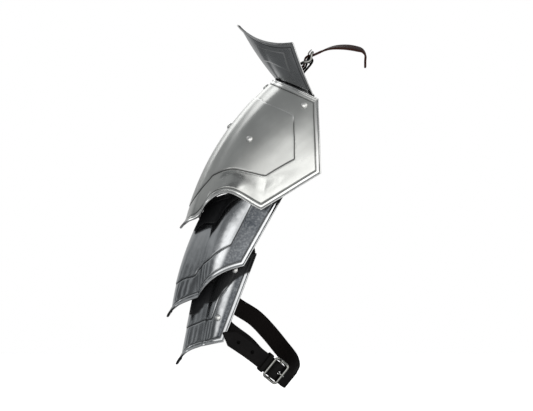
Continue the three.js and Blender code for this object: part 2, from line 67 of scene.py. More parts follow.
import bmesh
import bpy
import numpy as np
from mathutils import Matrix, Vector, kdtree

log = logging.getLogger("pauldron")
Array = np.ndarray
Piece = bpy.types.Object
Material = bpy.types.Material
Socket = bpy.types.NodeSocket
Layers = dict[str, np.ndarray]
Rule = Callable[[Array], Array]
Pair = tuple[float, float]
Triple = tuple[float, float, float]

MM = 0.001
BODY = "root"

STEEL = 1.2  # wall of every plate
HIDE = 2.2  # thickness of every leather
GAP = 0.35  # play between pieces that touch
PLAY = 1.0  # play between a curved plate and the leather under it
STRAP_PLAY = 2.4  # play between the lower lame and the flat strap under it
STRAP_WIDTH = 19.0
LAYER = HIDE + GAP
SNUG = STEEL + PLAY  # depth of an inner leather's outer face where it is riveted


# ---- small tools


def mix(a: float | Array, b: float | Array, share: float | Array) -> float | Array:
    """Returns the value a share of the way from a to b."""
    return a + (b - a) * share


def ease(value: Array, low: float, high: float) -> Array:
    """Returns 0 at one value, 1 at another, and rises smoothly in between."""
    share = np.clip((np.asarray(value, float) - low) / (high - low), 0, 1)
    return share * share * (3 - 2 * share)


def bell(value: Array, middle: float, width: float) -> Array:
    """Returns 1 at the middle, falling like a bell to both sides."""
    return np.exp(-(((value - middle) / width) ** 2))


def unit(vectors: Array) -> Array:
    """Returns the vectors scaled to length 1."""
    return vectors / np.maximum(np.linalg.norm(vectors, axis=-1, keepdims=True), 1e-9)


def rounding(column: float | Array) -> float | Array:
    """Returns how far from the crease to the free edge a column lies, as a share of the plate's drop."""
    return 1 - np.cos(np.radians(90 * (np.maximum(column, 1) - 1)))


def catmull(points: Array, steps: int) -> Array:
    """Runs a centripetal Catmull-Rom curve through some points.

    Args:
        points: the points that it passes, one to a row.
        steps: how many steps each stretch between two points gets.

    Returns:
        The points along the curve, both ends included.
    """
    knots = np.asarray(points, float)
    ends = np.vstack([2 * knots[0] - knots[1], knots, 2 * knots[-1] - knots[-2]])
    share = np.linspace(0, 1, steps, endpoint=False)[:, None]
    curve = []
    for a, b, c, d in zip(ends, ends[1:], ends[2:], ends[3:]):
        t1, t2, t3 = np.cumsum([max(np.linalg.norm(q - p), 1e-6) ** 0.5 for p, q in ((a, b), (b, c), (c, d))])
        t = mix(t1, t2, share)
        low, middle, high = mix(a, b, t / t1), mix(b, c, (t - t1) / (t2 - t1)), mix(c, d, (t - t2) / (t3 - t2))
        left, right = mix(low, middle, t / t2), mix(middle, high, (t - t1) / (t3 - t1))
        curve.append(mix(left, right, (t - t1) / (t2 - t1)))
    return np.vstack([*curve, knots[-1:]])


def reach_along(points: Array) -> Array:
    """Returns how far along a polyline each of its points is."""
    return np.concatenate([[0], np.cumsum(np.linalg.norm(np.diff(points, axis=0), axis=1))])


def evenly(points: Array, pitch: float) -> Array:
    """Returns points along a polyline in even paces of about one pitch, both ends included."""
    reach = reach_along(points)
    walk = np.linspace(0, reach[-1], max(2, round(reach[-1] / pitch) + 1))
    return np.stack([np.interp(walk, reach, points[:, k]) for k in range(points.shape[1])], axis=1)


def within(polygon: Array, places: Array) -> Array:
    """Tells which places lie inside a polygon in the plane.

    Args:
        polygon: its corners, in order.
        places: the places to test, with two numbers in the last axis.

    Returns:
        A mask of the places inside.
    """
    inside = np.zeros(places.shape[:-1], bool)
    x, y = places[..., 0], places[..., 1]
    for (ax, ay), (bx, by) in zip(polygon, np.roll(polygon, -1, axis=0)):
        if ay != by:
            inside ^= ((ay > y) != (by > y)) & (x < (bx - ax) * (y - ay) / (by - ay) + ax)
    return inside


def nearest(line: Array, places: Array) -> Array:
    """Measures how far each place is from a line given by close points.

    Args:
        line: the line's points.
        places: the places, with three numbers in the last axis.

    Returns:
        The distances.
    """
    tree = kdtree.KDTree(len(line))
    for k, point in enumerate(line):
        tree.insert(point, k)
    tree.balance()
    found = [tree.find(point)[2] for point in places.reshape(-1, 3)]
    return np.array(found).reshape(places.shape[:-1])


# ---- meshes


def placed(name: str, data: bpy.types.ID) -> Piece:
    """Returns a new object at the origin that shows a mesh, a lamp or a camera."""
    thing = bpy.data.objects.new(name, data)
    bpy.context.scene.collection.objects.link(thing)
    return thing


def make_piece(name: str, points: Array, faces: Sequence[Sequence[int]], layers: Layers) -> Piece:
    """Makes a smooth mesh object at the origin.

    Args:
        name: the piece's name.
        points: its vertices in millimetres.
        faces: the vertex numbers of each face, anticlockwise seen from outside.
        layers: values of each vertex to keep as named attributes, one or three numbers a vertex.

    Returns:
        The object, linked to the scene.
    """
    mesh = bpy.data.meshes.new(name)
    mesh.from_pydata((np.asarray(points) * MM).tolist(), [], [list(map(int, f)) for f in faces])
    mesh.polygons.foreach_set("use_smooth", np.ones(len(mesh.polygons), bool))
    for layer, values in layers.items():
        kind, slot = ("FLOAT", "value") if values.ndim == 1 else ("FLOAT_VECTOR", "vector")
        mesh.attributes.new(layer, kind, "POINT").data.foreach_set(slot, values.astype(np.float32).ravel())
    mesh.update()
    return placed(name, mesh)


def grid_faces(lines: int, length: int, first: int = 0, closed: bool = False, flip: bool = False) -> Array:
    """Numbers the quads of a grid of vertices.

    Args:
        lines: how many lines of vertices the grid has.
        length: how many vertices a line has.
        first: the number of the grid's first vertex.
        closed: whether each line closes on itself.
        flip: whether the faces are turned round.

    Returns:
        The faces, four numbers each.
    """
    i, j = np.meshgrid(np.arange(lines - 1), np.arange(length if closed else length - 1), indexing="ij")
    after = (j + 1) % length
    corners = [i * length + j, (i + 1) * length + j, (i + 1) * length + after, i * length + after]
    quads = np.stack(corners[::-1] if flip else corners, axis=-1).reshape(-1, 4)
    return quads + first


def grid_normals(grid: Array) -> Array:
    """Returns the unit normals of a grid of points, towards its outer side."""
    return unit(np.cross(np.gradient(grid, axis=0), np.gradient(grid, axis=1)))


def grid_skin(grid: Array) -> Array:
    """Returns how far across and along its surface each point of a grid lies, in millimetres, and 0."""
    across = np.linalg.norm(np.diff(grid, axis=0, prepend=grid[:1]), axis=-1).cumsum(axis=0)
    along = np.linalg.norm(np.diff(grid, axis=1, prepend=grid[:, :1]), axis=-1).cumsum(axis=1)
    return np.stack([across - across[len(grid) // 2], along, np.zeros_like(along)], axis=-1)


def sheet_piece(name: str, outer: Array, wall: float | Array, layers: Layers, lip: float) -> Piece:
    """Makes a closed sheet under a grid of points, with rounded borders.

    Args:
        name: the piece's name.
        outer: the grid of points of its outer face.
        wall: its thickness, the same all over or one for each point.
        layers: values for each grid point, kept as attributes beside the attribute inside.
        lip: how far the rounded border stands out past the faces.

    Returns:
        The object.
    """
    lines, length = outer.shape[:2]
    inner = outer - wall * grid_normals(outer)
    i, j = np.arange(lines), np.arange(length)
    rows = [(i[:-1], 0 * i[:-1]), (0 * j[:-1] + lines - 1, j[:-1]), (i[:0:-1], 0 * i[1:] + length - 1)]
    rows.append((0 * j[1:], j[:0:-1]))
    ring_i, ring_j = np.concatenate([r[0] for r in rows]), np.concatenate([r[1] for r in rows])
    inward_i, inward_j = np.clip(ring_i, 1, lines - 2), np.clip(ring_j, 1, length - 2)
    outward = unit(outer[ring_i, ring_j] - outer[inward_i, inward_j])
    edge = (outer[ring_i, ring_j] + inner[ring_i, ring_j]) / 2 + lip * outward
    count, ring = lines * length, ring_i * length + ring_j
    border = 2 * count + np.arange(len(ring))
    faces = [grid_faces(lines, length), grid_faces(lines, length, count, flip=True)]
    for a, b in ((ring, border), (border, ring + count)):
        faces.append(np.stack([a, b, np.roll(b, -1), np.roll(a, -1)], axis=1))
    flat = {key: values.reshape(count, *values.shape[2:]) for key, values in layers.items()}
    kept = {key: np.concatenate([values, values, values[ring]]) for key, values in flat.items()}
    kept["inside"] = np.concatenate([np.zeros(count), np.ones(count), np.zeros(len(ring))])
    points = np.vstack([outer.reshape(-1, 3), inner.reshape(-1, 3), edge])
    return make_piece(name, points, np.vstack(faces), kept)


def swept(points: Array, sides: Array, lifts: Array, section: Array, scales: Array) -> Array:
    """Places a section along a path.

    Args:
        points: the path.
        sides: the direction of the section's first number at each point.
        lifts: the direction of its second number at each point.
        section: the section's outline.
        scales: how wide and how high the section is at each point, as shares.

    Returns:
        The grid of points, one line for each point of the path.
    """
    offsets = section[None] * scales[:, None]
    return points[:, None] + offsets[..., :1] * sides[:, None] + offsets[..., 1:] * lifts[:, None]


def looped(path: Array, square: Array, section: Array) -> Array:
    """Places a section round a loop that lies about flat.

    Args:
        path: the loop's points, without the first one again at its end.
        square: the direction square to the loop.
        section: the section's outline.

    Returns:
        The grid of points, one line for each point of the path.
    """
    along = unit(np.roll(path, -1, axis=0) - np.roll(path, 1, axis=0))
    side = unit(np.cross(square, along))
    return swept(path, side, np.cross(along, side), section, np.ones((len(path), 2)))


def tube_faces(lines: int, length: int, closed: bool, first: int) -> list[list[int]]:
    """Numbers the faces of a swept section.

    Args:
        lines: how many sections there are.
        length: how many points a section has.
        closed: whether the last section meets the first one.
        first: the number of the first vertex.

    Returns:
        The faces, with a cap at each end of an open sweep.
    """
    faces = grid_faces(lines, length, first, closed=True).tolist()
    if closed:
        seam = np.arange(length)
        last = first + (lines - 1) * length + seam
        faces += np.stack([last, first + seam, first + np.roll(seam, -1), np.roll(last, -1)], axis=1).tolist()
    else:
        faces.append(list(range(first, first + length)))
        faces.append(list(range(first + lines * length - 1, first + (lines - 1) * length - 1, -1)))
    return faces


def tube_piece(name: str, tubes: Sequence[tuple[Array, bool]], layers: Layers) -> Piece:
    """Makes one piece of some swept sections, with its faces outwards.

    Args:
        name: the piece's name.
        tubes: the grid of points of each sweep, and whether it closes on itself.
        layers: values of each vertex to keep as named attributes.

    Returns:
        The object.
    """
    faces, first = [], 0
    for grid, closed in tubes:
        faces += tube_faces(*grid.shape[:2], closed, first)
        first += grid.shape[0] * grid.shape[1]
    piece = make_piece(name, np.vstack([grid.reshape(-1, 3) for grid, _ in tubes]), faces, layers)
    work = bmesh.new()
    work.from_mesh(piece.data)
    bmesh.ops.recalc_face_normals(work, faces=work.faces)
    work.to_mesh(piece.data)
    work.free()
    return piece


# ---- finishes


class Tree:
    """A tree of nodes that is built step by step."""

    def __init__(self, tree: bpy.types.NodeTree) -> None:
        """Takes over a node tree and empties it."""
        self.tree = tree
        tree.nodes.clear()

    def add(self, kind: str, inputs: dict[str | int, object] | None = None, **values: object) -> bpy.types.Node:
        """Adds a node.

        Args:
            kind: the node's type.
            inputs: sockets to link or values to set, by the names or numbers of its inputs.
            values: some of its properties.

        Returns:
            The node.
        """
        node = self.tree.nodes.new(kind)
        for name, value in values.items():
            setattr(node, name, value)
        for key, value in (inputs or {}).items():
            if isinstance(value, Socket):
                self.tree.links.new(value, node.inputs[key])
            else:
                node.inputs[key].default_value = value
        return node

    def math(self, operation: str, *values: object, clamp: bool = False) -> Socket:
        """Returns the result of one arithmetic step."""
        inputs = dict(enumerate(values))
        return self.add("ShaderNodeMath", inputs, operation=operation, use_clamp=clamp).outputs[0]


class Nodes(Tree):
    """The nodes of a material or of the world."""

    def span(self, value: object, low: float, high: float, start: float, end: float) -> Socket:
        """Returns a value carried smoothly from one range, low to high, to another, start to end."""
        inputs = dict(enumerate((value, low, high, start, end)))
        return self.add("ShaderNodeMapRange", inputs, interpolation_type="SMOOTHSTEP").outputs[0]

    def blend(self, share: object, first: object, second: object) -> Socket:
        """Returns a mix of two colours."""
        return self.add("ShaderNodeMix", {0: share, 6: first, 7: second}, data_type="RGBA").outputs[2]

    def coats(self, colour: object, *coats: tuple[object, object]) -> Socket:
        """Returns a colour under some coats, each with its share and colour, the topmost last."""
        for share, coat in coats:
            colour = self.blend(share, colour, coat)
        return colour

    def total(self, start: float, *parts: tuple[object, float]) -> Socket:
        """Returns a number with shares of some values added, kept between 0 and 1."""
        for count, (value, share) in enumerate(parts, 1):
            start = self.math("MULTIPLY_ADD", value, share, start, clamp=count == len(parts))
        return start

    def near(self, value: Socket, middle: float, low: float, high: float) -> Socket:
        """Returns 1 where a value is close to a number, fading to 0 from low to high away from it."""
        return self.span(self.math("ABSOLUTE", self.math("SUBTRACT", value, middle)), low, high, 1, 0)

    def number_mix(self, share: object, first: object, second: object) -> Socket:
        """Returns a mix of two numbers."""
        return self.math("MULTIPLY_ADD", self.math("SUBTRACT", second, first), share, first)

    def attribute(self, name: str, vector: bool = False) -> Socket:
        """Returns a named attribute of the surface."""
        node = self.add("ShaderNodeAttribute", attribute_name=name)
        return node.outputs["Vector" if vector else "Fac"]

    def place(self) -> Socket:
        """Returns the place on the piece, in metres."""
        return self.add("ShaderNodeTexCoord").outputs["Object"]

    def stretched(self, vector: Socket, scale: Triple) -> Socket:
        """Returns a place with each of its axes scaled."""
        return self.add("ShaderNodeMapping", {"Vector": vector, "Scale": scale}).outputs[0]

    def noise(self, vector: Socket, scale: float, detail: float = 3, rough: float = 0.5) -> Socket:
        """Returns soft noise between 0 and 1."""
        sizes = {"Vector": vector, "Scale": scale, "Detail": detail, "Roughness": rough}
        return self.add("ShaderNodeTexNoise", sizes).outputs["Fac"]

    def cells(self, vector: Socket, scale: float) -> Socket:
        """Returns the distance to the middle of the nearest of many cells."""
        return self.add("ShaderNodeTexVoronoi", {"Vector": vector, "Scale": scale}).outputs["Distance"]

    def bumps(self, *heights: tuple[Socket, float]) -> Socket:
        """Returns the normal bent by some patterns, each with its height in millimetres, the topmost last."""
        under = {}
        for pattern, depth in heights:
            node = self.add("ShaderNodeBump", {"Distance": depth * MM, "Height": pattern, **under})
            under = {"Normal": node.outputs[0]}
        return under["Normal"]

    def finish(self, **values: object) -> None:
        """Ends a material in one Principled shader, whose inputs are named with _ for each space."""
        inputs = {name.replace("_", " "): value for name, value in values.items()}
        shader = self.add("ShaderNodeBsdfPrincipled", inputs)
        self.add("ShaderNodeOutputMaterial", {"Surface": shader.outputs[0]})


def new_material(name: str) -> tuple[Material, Nodes]:
    """Returns a new material and its empty tree."""
    material = bpy.data.materials.new(name)
    material.use_nodes = True
    return material, Nodes(material.node_tree)


class Coat(Enum):
    """The colours that lie over the steel of a plate."""

    DARK_SCALE = (0.05, 0.057, 0.068, 1)
    PALE_SCALE = (0.15, 0.16, 0.17, 1)
    # dirt and painted shade in the struck lines and the border's groove
    DIRT = (0.03, 0.03, 0.03, 1)
    # bright worn borders, and the painted highlight along the crest of a panel's step
    WORN = (0.88, 0.88, 0.87, 1)
    INSIDE = (0.07, 0.07, 0.074, 1)
    # painted shade on the folded point at the foot of a ridge
    TIP = (0.02, 0.02, 0.022, 1)
    # painted shade where a lame lies under the plate above, given as blackened steel
    TUCKED = (0.008, 0.0085, 0.0095, 1)


@dataclass(frozen=True)
class Marks:
    """What the noises and a plate's attributes say at each point of its steel."""

    clouds: Socket
    specks: Socket
    brushed: Socket
    border: Socket  # millimetres from the plate's border
    # dirt and painted shade in the struck line and in the groove inside the border
    dirt_and_shade: Socket
    # bright worn border, and the painted highlight along the crest of the panel's step
    worn: Socket
    dull: Socket
    # painted shade where the plate lies under the one above
    tucked: Socket
    black: Socket  # the darkest of the painted shade under the plate above
    inside: Socket


@dataclass(frozen=True)
class PlateSteel:
    """Sheet steel, satin or polished, with grooves dark with dirt and painted shade, bright worn borders, a
    painted highlight on its panel's top crest, and painted shade, given as blackened steel, where it lies under
    the plate above.
    """

    name: str
    tone: Triple
    roughness: float
    waviness: float = 0.30  # height of the planishing marks, in millimetres
    streaks: float = 0.05  # how much the brushing changes the roughness
    mottle: float = 0.10  # how much the tone changes from place to place
    rim: float = 0.5  # how much lighter the border is
    scratch: float = 0.012  # depth of the brushing, in millimetres

    def marks(self, n: Nodes) -> Marks:
        """Adds the noises and reads the attributes.

        Args:
            n: the material's tree.

        Returns:
            The marks.
        """
        place, line, border, grime = n.place(), n.attribute("line"), n.attribute("edge"), n.attribute("grime")
        # the struck line dark with dirt, and with painted shade on the lines below the panel's lit top
        struck = n.math("MULTIPLY", n.near(line, 0, 0.25, 1.0), grime)
        # painted highlight along the crest of the panel's step, where the struck line isn't darkened
        clean_and_lit = n.math("SUBTRACT", 0.75, n.math("MULTIPLY", grime, 0.75))
        crest_highlight = n.math("MULTIPLY", n.near(line, 0.5, 0.3, 1.1), clean_and_lit)
        worn = n.math("MAXIMUM", crest_highlight, n.span(border, 0.4, 1.5, 0.3 + self.rim, 0))
        # painted shade under the plate above, its border made ragged by noise
        ragged = n.math("ADD", n.attribute("tucked"), n.span(n.noise(place, 90, 3), 0.3, 0.7, -0.4, 0.4))
        tucked = n.span(ragged, -1.2, 1.2, 0, 1)
        return Marks(
            clouds=n.noise(place, 28, 4),
            specks=n.noise(place, 420, 5, 0.7),
            brushed=n.noise(n.stretched(n.attribute("skin", vector=True), (1.6, 0.035, 1)), 1, 4, 0.6),
            border=border,
            dirt_and_shade=n.math("MAXIMUM", struck, n.math("MULTIPLY", n.near(border, RIM_GROOVE_AT, 0.2, 0.9), 0.85)),
            worn=n.math("MAXIMUM", worn, n.span(border, 3.8, 4.9, self.rim, 0)),
            dull=n.attribute("dull"),
            tucked=tucked,
            black=n.span(tucked, 0.75, 1, 0, 1),
            inside=n.attribute("inside"),
        )

    def colour(self, n: Nodes, marks: Marks) -> Socket:
        """Lays the coats over the bare steel.

        Args:
            n: the material's tree.
            marks: what its noises and attributes say.

        Returns:
            The colour.
        """
        light = (*(min(1, value * (1 + self.mottle)) for value in self.tone), 1)
        dark = (*(value * (1 - self.mottle) for value in self.tone), 1)
        wiped = n.noise(n.stretched(n.attribute("skin", vector=True), (0.10, 0.012, 1)), 1, 3)
        flakes = n.span(n.noise(n.place(), 450, 4, 0.65), 0.42, 0.66, 0, 1)
        return n.coats(
            n.blend(n.span(marks.clouds, 0.3, 0.7, 0, 1), dark, light),
            (n.span(wiped, 0.35, 0.75, 0, 0.5), dark),
            (n.math("MULTIPLY", marks.dull, n.span(marks.clouds, 0.25, 0.6, 1, 0.88)),
             n.blend(flakes, Coat.DARK_SCALE.value, Coat.PALE_SCALE.value)),
            # dirt and painted shade in the struck line and the border's groove
            (n.math("MULTIPLY", marks.dirt_and_shade, 0.85), Coat.DIRT.value),
            # bright worn border and painted highlight on the panel's crest
            (marks.worn, Coat.WORN.value),
            (n.math("MULTIPLY", marks.inside, 0.96), Coat.INSIDE.value),
            # painted shade on the point at the foot of a ridge
            (n.math("MULTIPLY", n.attribute("tip"), 0.95), Coat.TIP.value),
            # painted shade under the plate above, given as blackened steel
            (marks.tucked, Coat.TUCKED.value),
        )

    def build(self) -> Material:
        """Makes the material.

        Returns:
            The material.
        """
        material, n = new_material(self.name)
        marks = self.marks(n)
        roughness = n.total(
            self.roughness,
            (n.math("SUBTRACT", marks.clouds, 0.5), 0.16),
            (n.math("SUBTRACT", marks.brushed, 0.5), self.streaks * 2),
            (n.span(marks.specks, 0.58, 0.75, 0, 1), 0.12),
            (n.span(marks.border, 0.8, 3.2, 1, 0), -0.10),
            (n.attribute("bright"), self.roughness * -0.4),
            (marks.dirt_and_shade, 0.2),
            (marks.dull, 0.12),
            (marks.black, 0.4),
            (marks.inside, 0.2),
        )
        waves = n.noise(n.place(), 46, 2)
        normal = n.bumps((waves, self.waviness), (marks.brushed, self.scratch), (marks.specks, self.scratch))
        metal = n.math("SUBTRACT", 1, n.math("MULTIPLY", marks.black, 0.9))
        n.finish(Base_Color=self.colour(n, marks), Metallic=metal, Roughness=roughness, Normal=normal)
        return material


@dataclass(frozen=True)
class SmallSteel:
    """Polished steel of rivets and buckles, darker and rougher in random patches."""

    name: str
    tone: Triple
    roughness: float

    def build(self) -> Material:
        """Makes the material.

        Returns:
            The material.
        """
        material, n = new_material(self.name)
        grime, fine = n.noise(n.place(), 260, 4), n.noise(n.place(), 1400, 3)
        hollow = (*(value * 0.55 for value in self.tone), 1)
        colour = n.blend(n.span(grime, 0.5, 0.75, 0, 0.35), (*self.tone, 1), hollow)
        roughness, normal = n.total(self.roughness - 0.05, (grime, 0.14)), n.bumps((grime, 0.02), (fine, 0.01))
        n.finish(Base_Color=colour, Metallic=1.0, Roughness=roughness, Normal=normal)
        return material


class Hide(Enum):
    """The two dyes of the leathers: the grain side, and the raw edges and flesh side."""

    BLACK = ((0.0030, 0.0026, 0.0026), (0.006, 0.0045, 0.004))
    BROWN = ((0.030, 0.011, 0.008), (0.040, 0.015, 0.011))


@dataclass(frozen=True)
class Leather:
    """Dyed strap leather with a fine grain, worn along its edges, and a fibrous flesh side."""

    name: str
    hide: Hide
    roughness: float = 0.46
    grain: float = 0.9  # size of a grain cell, in millimetres
    pores: float = 3.1  # how many pores lie along a grain cell
    shine: float = 0.10

    def build(self) -> Material:
        """Makes the material.

        Returns:
            The material.
        """
        material, n = new_material(self.name)
        face, raw = self.hide.value
        place, flesh = n.place(), n.attribute("flesh")
        cells = n.cells(place, 1 / (self.grain * MM))
        pores = n.cells(place, self.pores / (self.grain * MM))
        wear = n.noise(place, 75, 4, 0.6)
        rubbed = n.noise(n.stretched(n.attribute("skin", vector=True), (0.5, 0.08, 1)), 1, 4)
        colour = n.coats(
            (*face, 1),
            (n.span(wear, 0.45, 0.8, 0, 0.8), (*(value * 2.0 + 0.002 for value in face), 1)),
            (n.span(cells, 0.1, 0.75, 0.35, 0), (0.002, 0.002, 0.002, 1)),
            (n.math("MULTIPLY", flesh, 0.9), (*raw, 1)),
        )
        roughness = n.total(self.roughness - 0.1, (wear, 0.22), (rubbed, 0.14), (flesh, 0.25))
        normal = n.bumps((rubbed, 0.15), (n.noise(place, 300, 3), 0.16), (cells, 0.075), (pores, 0.035))
        n.finish(Base_Color=colour, Roughness=roughness, Specular_IOR_Level=self.shine, Normal=normal)
        return material


def dress(piece: Piece, finish: Material, nodes: Iterable[str]) -> Piece:
    """Gives a piece its finish, and its place in the model.

    Args:
        piece: the finished object.
        finish: its material.
        nodes: the solids that the piece stands for.

    Returns:
        The same object.
    """
    piece.data.materials.clear()
    piece.data.materials.append(finish)
    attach(piece, BODY)
    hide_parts(*nodes)
    piece.data.calc_loop_triangles()
    log.info("%s: %d triangles", piece.name, len(piece.data.loop_triangles))
    return piece


# ---- plates


@dataclass(frozen=True)
class Quadratic:
    """A size that changes along the stations as a + b*v + c*v*v."""

    a: float
    b: float = 0.0
    c: float = 0.0

    def __call__(self, station: Array) -> Array:
        """Returns the size at some stations."""
        return self.a + self.b * station + self.c * station * station


@dataclass(frozen=True)
class Fan:
    """Stations that turn round a pivot, as over the shoulder: station 1 is one sweep on from station 0."""

    x: float
    z: float
    start: float
    sweep: float

    def at(self, station: Array) -> tuple[Array, Array, Array, Array]:
        """Returns the origin's X and Z at some stations, and the X and Z of the way outwards."""
        angle = np.radians(self.start + self.sweep * station)
        return self.x + 0 * station, self.z + 0 * station, np.cos(angle), np.sin(angle)


@dataclass(frozen=True)
class Ramp:
    """Stations that run straight down the arm, a millimetre each."""

    x: float
    z: float
    tilt: float

    def at(self, station: Array) -> tuple[Array, Array, Array, Array]:
        """Returns the origin's X and Z at some stations, and the X and Z of the way outwards."""
        slope = math.radians(self.tilt)
        x, z = self.x - math.sin(slope) * station, self.z - math.cos(slope) * station
        return x, z, -math.cos(slope) + 0 * station, math.sin(slope) + 0 * station


LOBE_BULGE = 0.8  # 0 would make the front lobe a flat facet, 1 a full quarter ellipse
SHOULDER_CUSP = 1.69  # column of the front cusp of the shoulder plate


@dataclass(frozen=True)
class PlateForm:
    """The rule of a fluted plate's shape: distances outwards and before the ridge, station by station."""

    layout: Fan | Ramp
    ridge: Rule
    crease: Rule
    edge: Rule
    crease_depth: Rule
    edge_depth: Rule
    top: Rule
    bottom: Rule
    cut: float = 0.0  # degrees by which the ridge lobe stops short of facing straight to the front

    def point(self, column: float | Array, station: float | Array) -> Array:
        """Places columns and stations in space.

        Args:
            column: from -2 at the back edge to 2 at the chest edge.
            station: the place along the arm.

        Returns:
            The points of the outer face.
        """
        column, v = np.broadcast_arrays(np.asarray(column, float), np.asarray(station, float))
        across = np.abs(column)
        turn = np.radians(90 - (90 - self.cut) * np.minimum(across, 1))
        low, wide = math.sin(math.radians(self.cut)), math.cos(math.radians(self.cut))
        crease, crease_depth = self.crease(v), self.crease_depth(v)
        rise = (np.sin(turn) - low) / (1 - low)
        share = rounding(across)
        lobe = mix(share, np.sin(np.radians(90 * (np.maximum(across, 1) - 1))), LOBE_BULGE)
        out = crease + (self.ridge(v) - crease) * rise + (self.edge(v) - crease) * share
        depth = crease_depth * np.cos(turn) / wide + (self.edge_depth(v) - crease_depth) * lobe
        x, z, out_x, out_z = self.layout.at(v)
        return np.stack([x + out_x * out, np.where(column < 0, depth, -depth), z + out_z * out], axis=-1)

    def speed(self, column: float, station: float) -> tuple[Array, Array]:
        """Returns how fast the face runs across and along, in millimetres for a column and for a station."""
        small = 1e-3 * max(1.0, float(self.bottom(np.float64(0))))
        along = (self.point(column, station + small) - self.point(column, station - small)) / (2 * small)
        across = (self.point(column + 0.02, station) - self.point(column - 0.02, station)) / 0.04
        return across, along

    def under(self, column: float, station: float, depth: float) -> Array:
        """Returns the point some way under the outer face."""
        across, along = self.speed(column, station)
        return self.point(column, station) - depth * unit(np.cross(along, across))


def hollowed(start: float, end: float, share: Array, hollow: float, lean: float = 1.0) -> Array:
    """Returns stations a share of the way from start to end, hollowed in between."""
    return mix(start, end, share) - hollow * np.sin(math.pi * share**lean)


@dataclass(frozen=True)
class ShoulderFoot:
    """The shoulder plate's foot: a point at the ridge, a scallop, the front cusp and a straight run."""

    ridge: float = 1.0
    crease: float = 0.978
    cusp: float = 1.089
    edge: float = 0.996
    ridge_hollow: float = 0.012  # how far the foot is hollowed between those points
    scallop_hollow: float = 0.131
    run_bulge: float = 0.011

    def __call__(self, column: Array) -> Array:
        """Works out the foot.

        Args:
            column: columns from 0 to 2.

        Returns:
            The stations of the foot.
        """
        ridge = hollowed(self.ridge, self.crease, np.minimum(column, 1), self.ridge_hollow)
        cusp = rounding(SHOULDER_CUSP)
        share = np.clip(rounding(column) / cusp, 0, 1)
        past = np.clip((rounding(column) - cusp) / (1 - cusp), 0, 1)
        lobe = hollowed(self.crease, self.cusp, share, self.scallop_hollow, 0.7)
        run = hollowed(self.cusp, self.edge, past, -self.run_bulge)
        return np.where(column <= 1, ridge, np.where(column <= SHOULDER_CUSP, lobe, run))


@dataclass(frozen=True)
class LameTop:
    """A lame's hidden top border, by its stations at the ridge, the crease and the free edge."""

    ridge: float
    crease: float
    edge: float

    def __call__(self, column: Array) -> Array:
        """Returns the stations of the border at columns from 0 to 2."""
        rise = np.sin(np.radians(90 * (np.maximum(column, 1) - 1) ** 0.8))
        return np.where(column <= 1, mix(self.ridge, self.crease, column), mix(self.crease, self.edge, rise))


@dataclass(frozen=True)
class LameFoot:
    """A lame's foot, by its stations at the ridge, the crease and the free edge, hollowed in between."""

    ridge: float
    crease: float
    edge: float
    ridge_hollow: float = 0.0
    lobe_hollow: float = 0.0

    def __call__(self, column: Array) -> Array:
        """Returns the stations of the foot at columns from 0 to 2."""
        ridge = hollowed(self.ridge, self.crease, np.minimum(column, 1), self.ridge_hollow)
        lobe = hollowed(self.crease, self.edge, rounding(column), self.lobe_hollow)
        return np.where(column <= 1, ridge, lobe)


SHOULDER = PlateForm(
    layout=Fan(148, -55, 155.7, 46),
    ridge=Quadratic(158, 61, 42),
    crease=Quadratic(151, 50, 42),
    edge=Quadratic(105.3, -37.6, 32.8),
    crease_depth=Quadratic(22, 45, -21),
    edge_depth=Quadratic(64, 32, -16),
    top=Quadratic(0),
    bottom=ShoulderFoot(),
)
UPPER = PlateForm(
    layout=Ramp(-83.7, -155.6, 20),
    ridge=Quadratic(0, 0.0641, -0.001572),
    crease=Quadratic(-19, 0, -0.0027),
    edge=Quadratic(-66.8, 0.164),
    crease_depth=Quadratic(38, -0.05),
    edge_depth=Quadratic(64, -0.06),
    top=LameTop(-30, -56, -80),
    bottom=LameFoot(95.5, 63.7, 14.5, lobe_hollow=5),
    cut=32,
)
LOWER = PlateForm(
    layout=Ramp(-85, -230, 14),
    ridge=Quadratic(0, -0.05),
    crease=Quadratic(-20, 0, -0.0012),
    edge=Quadratic(-48.1, 0.118),
    crease_depth=Quadratic(32, -0.04),
    edge_depth=Quadratic(53, -0.05),
    top=LameTop(-24, -32, -66),
    bottom=LameFoot(71.5, 45, 34, ridge_hollow=2),
    cut=32,
)

RIM = 5.0  # width of a plate's raised border
RIM_RISE = 0.45  # how far the border stands proud
ROLL = 2.4  # width of the turned-out lip along its edge
ROLL_RISE = 1.1  # how much further the lip turns out
RIM_GROOVE_AT = 5.6  # where the groove inside the border runs
RIM_GROOVE = 0.35  # depth of that groove
TIP_RISE = 2.9  # how much further the point at the foot of a ridge turns out
TIP_REACH = 11.0  # how long that point is
TIP_THICKER = 1.0  # how much thicker the metal is folded there
PANEL_RISE = 0.55  # how far an embossed panel stands proud
PANEL_STEP = 1.2  # width of the step round it
PANEL_GROOVE = 0.35  # depth of the struck line at the foot of the step
GROOVE_WIDTH = 0.55
LIP = 0.35  # how far the rounded border of a sheet stands out past its faces
WALK = 0.4  # pace along a line from which distances are measured
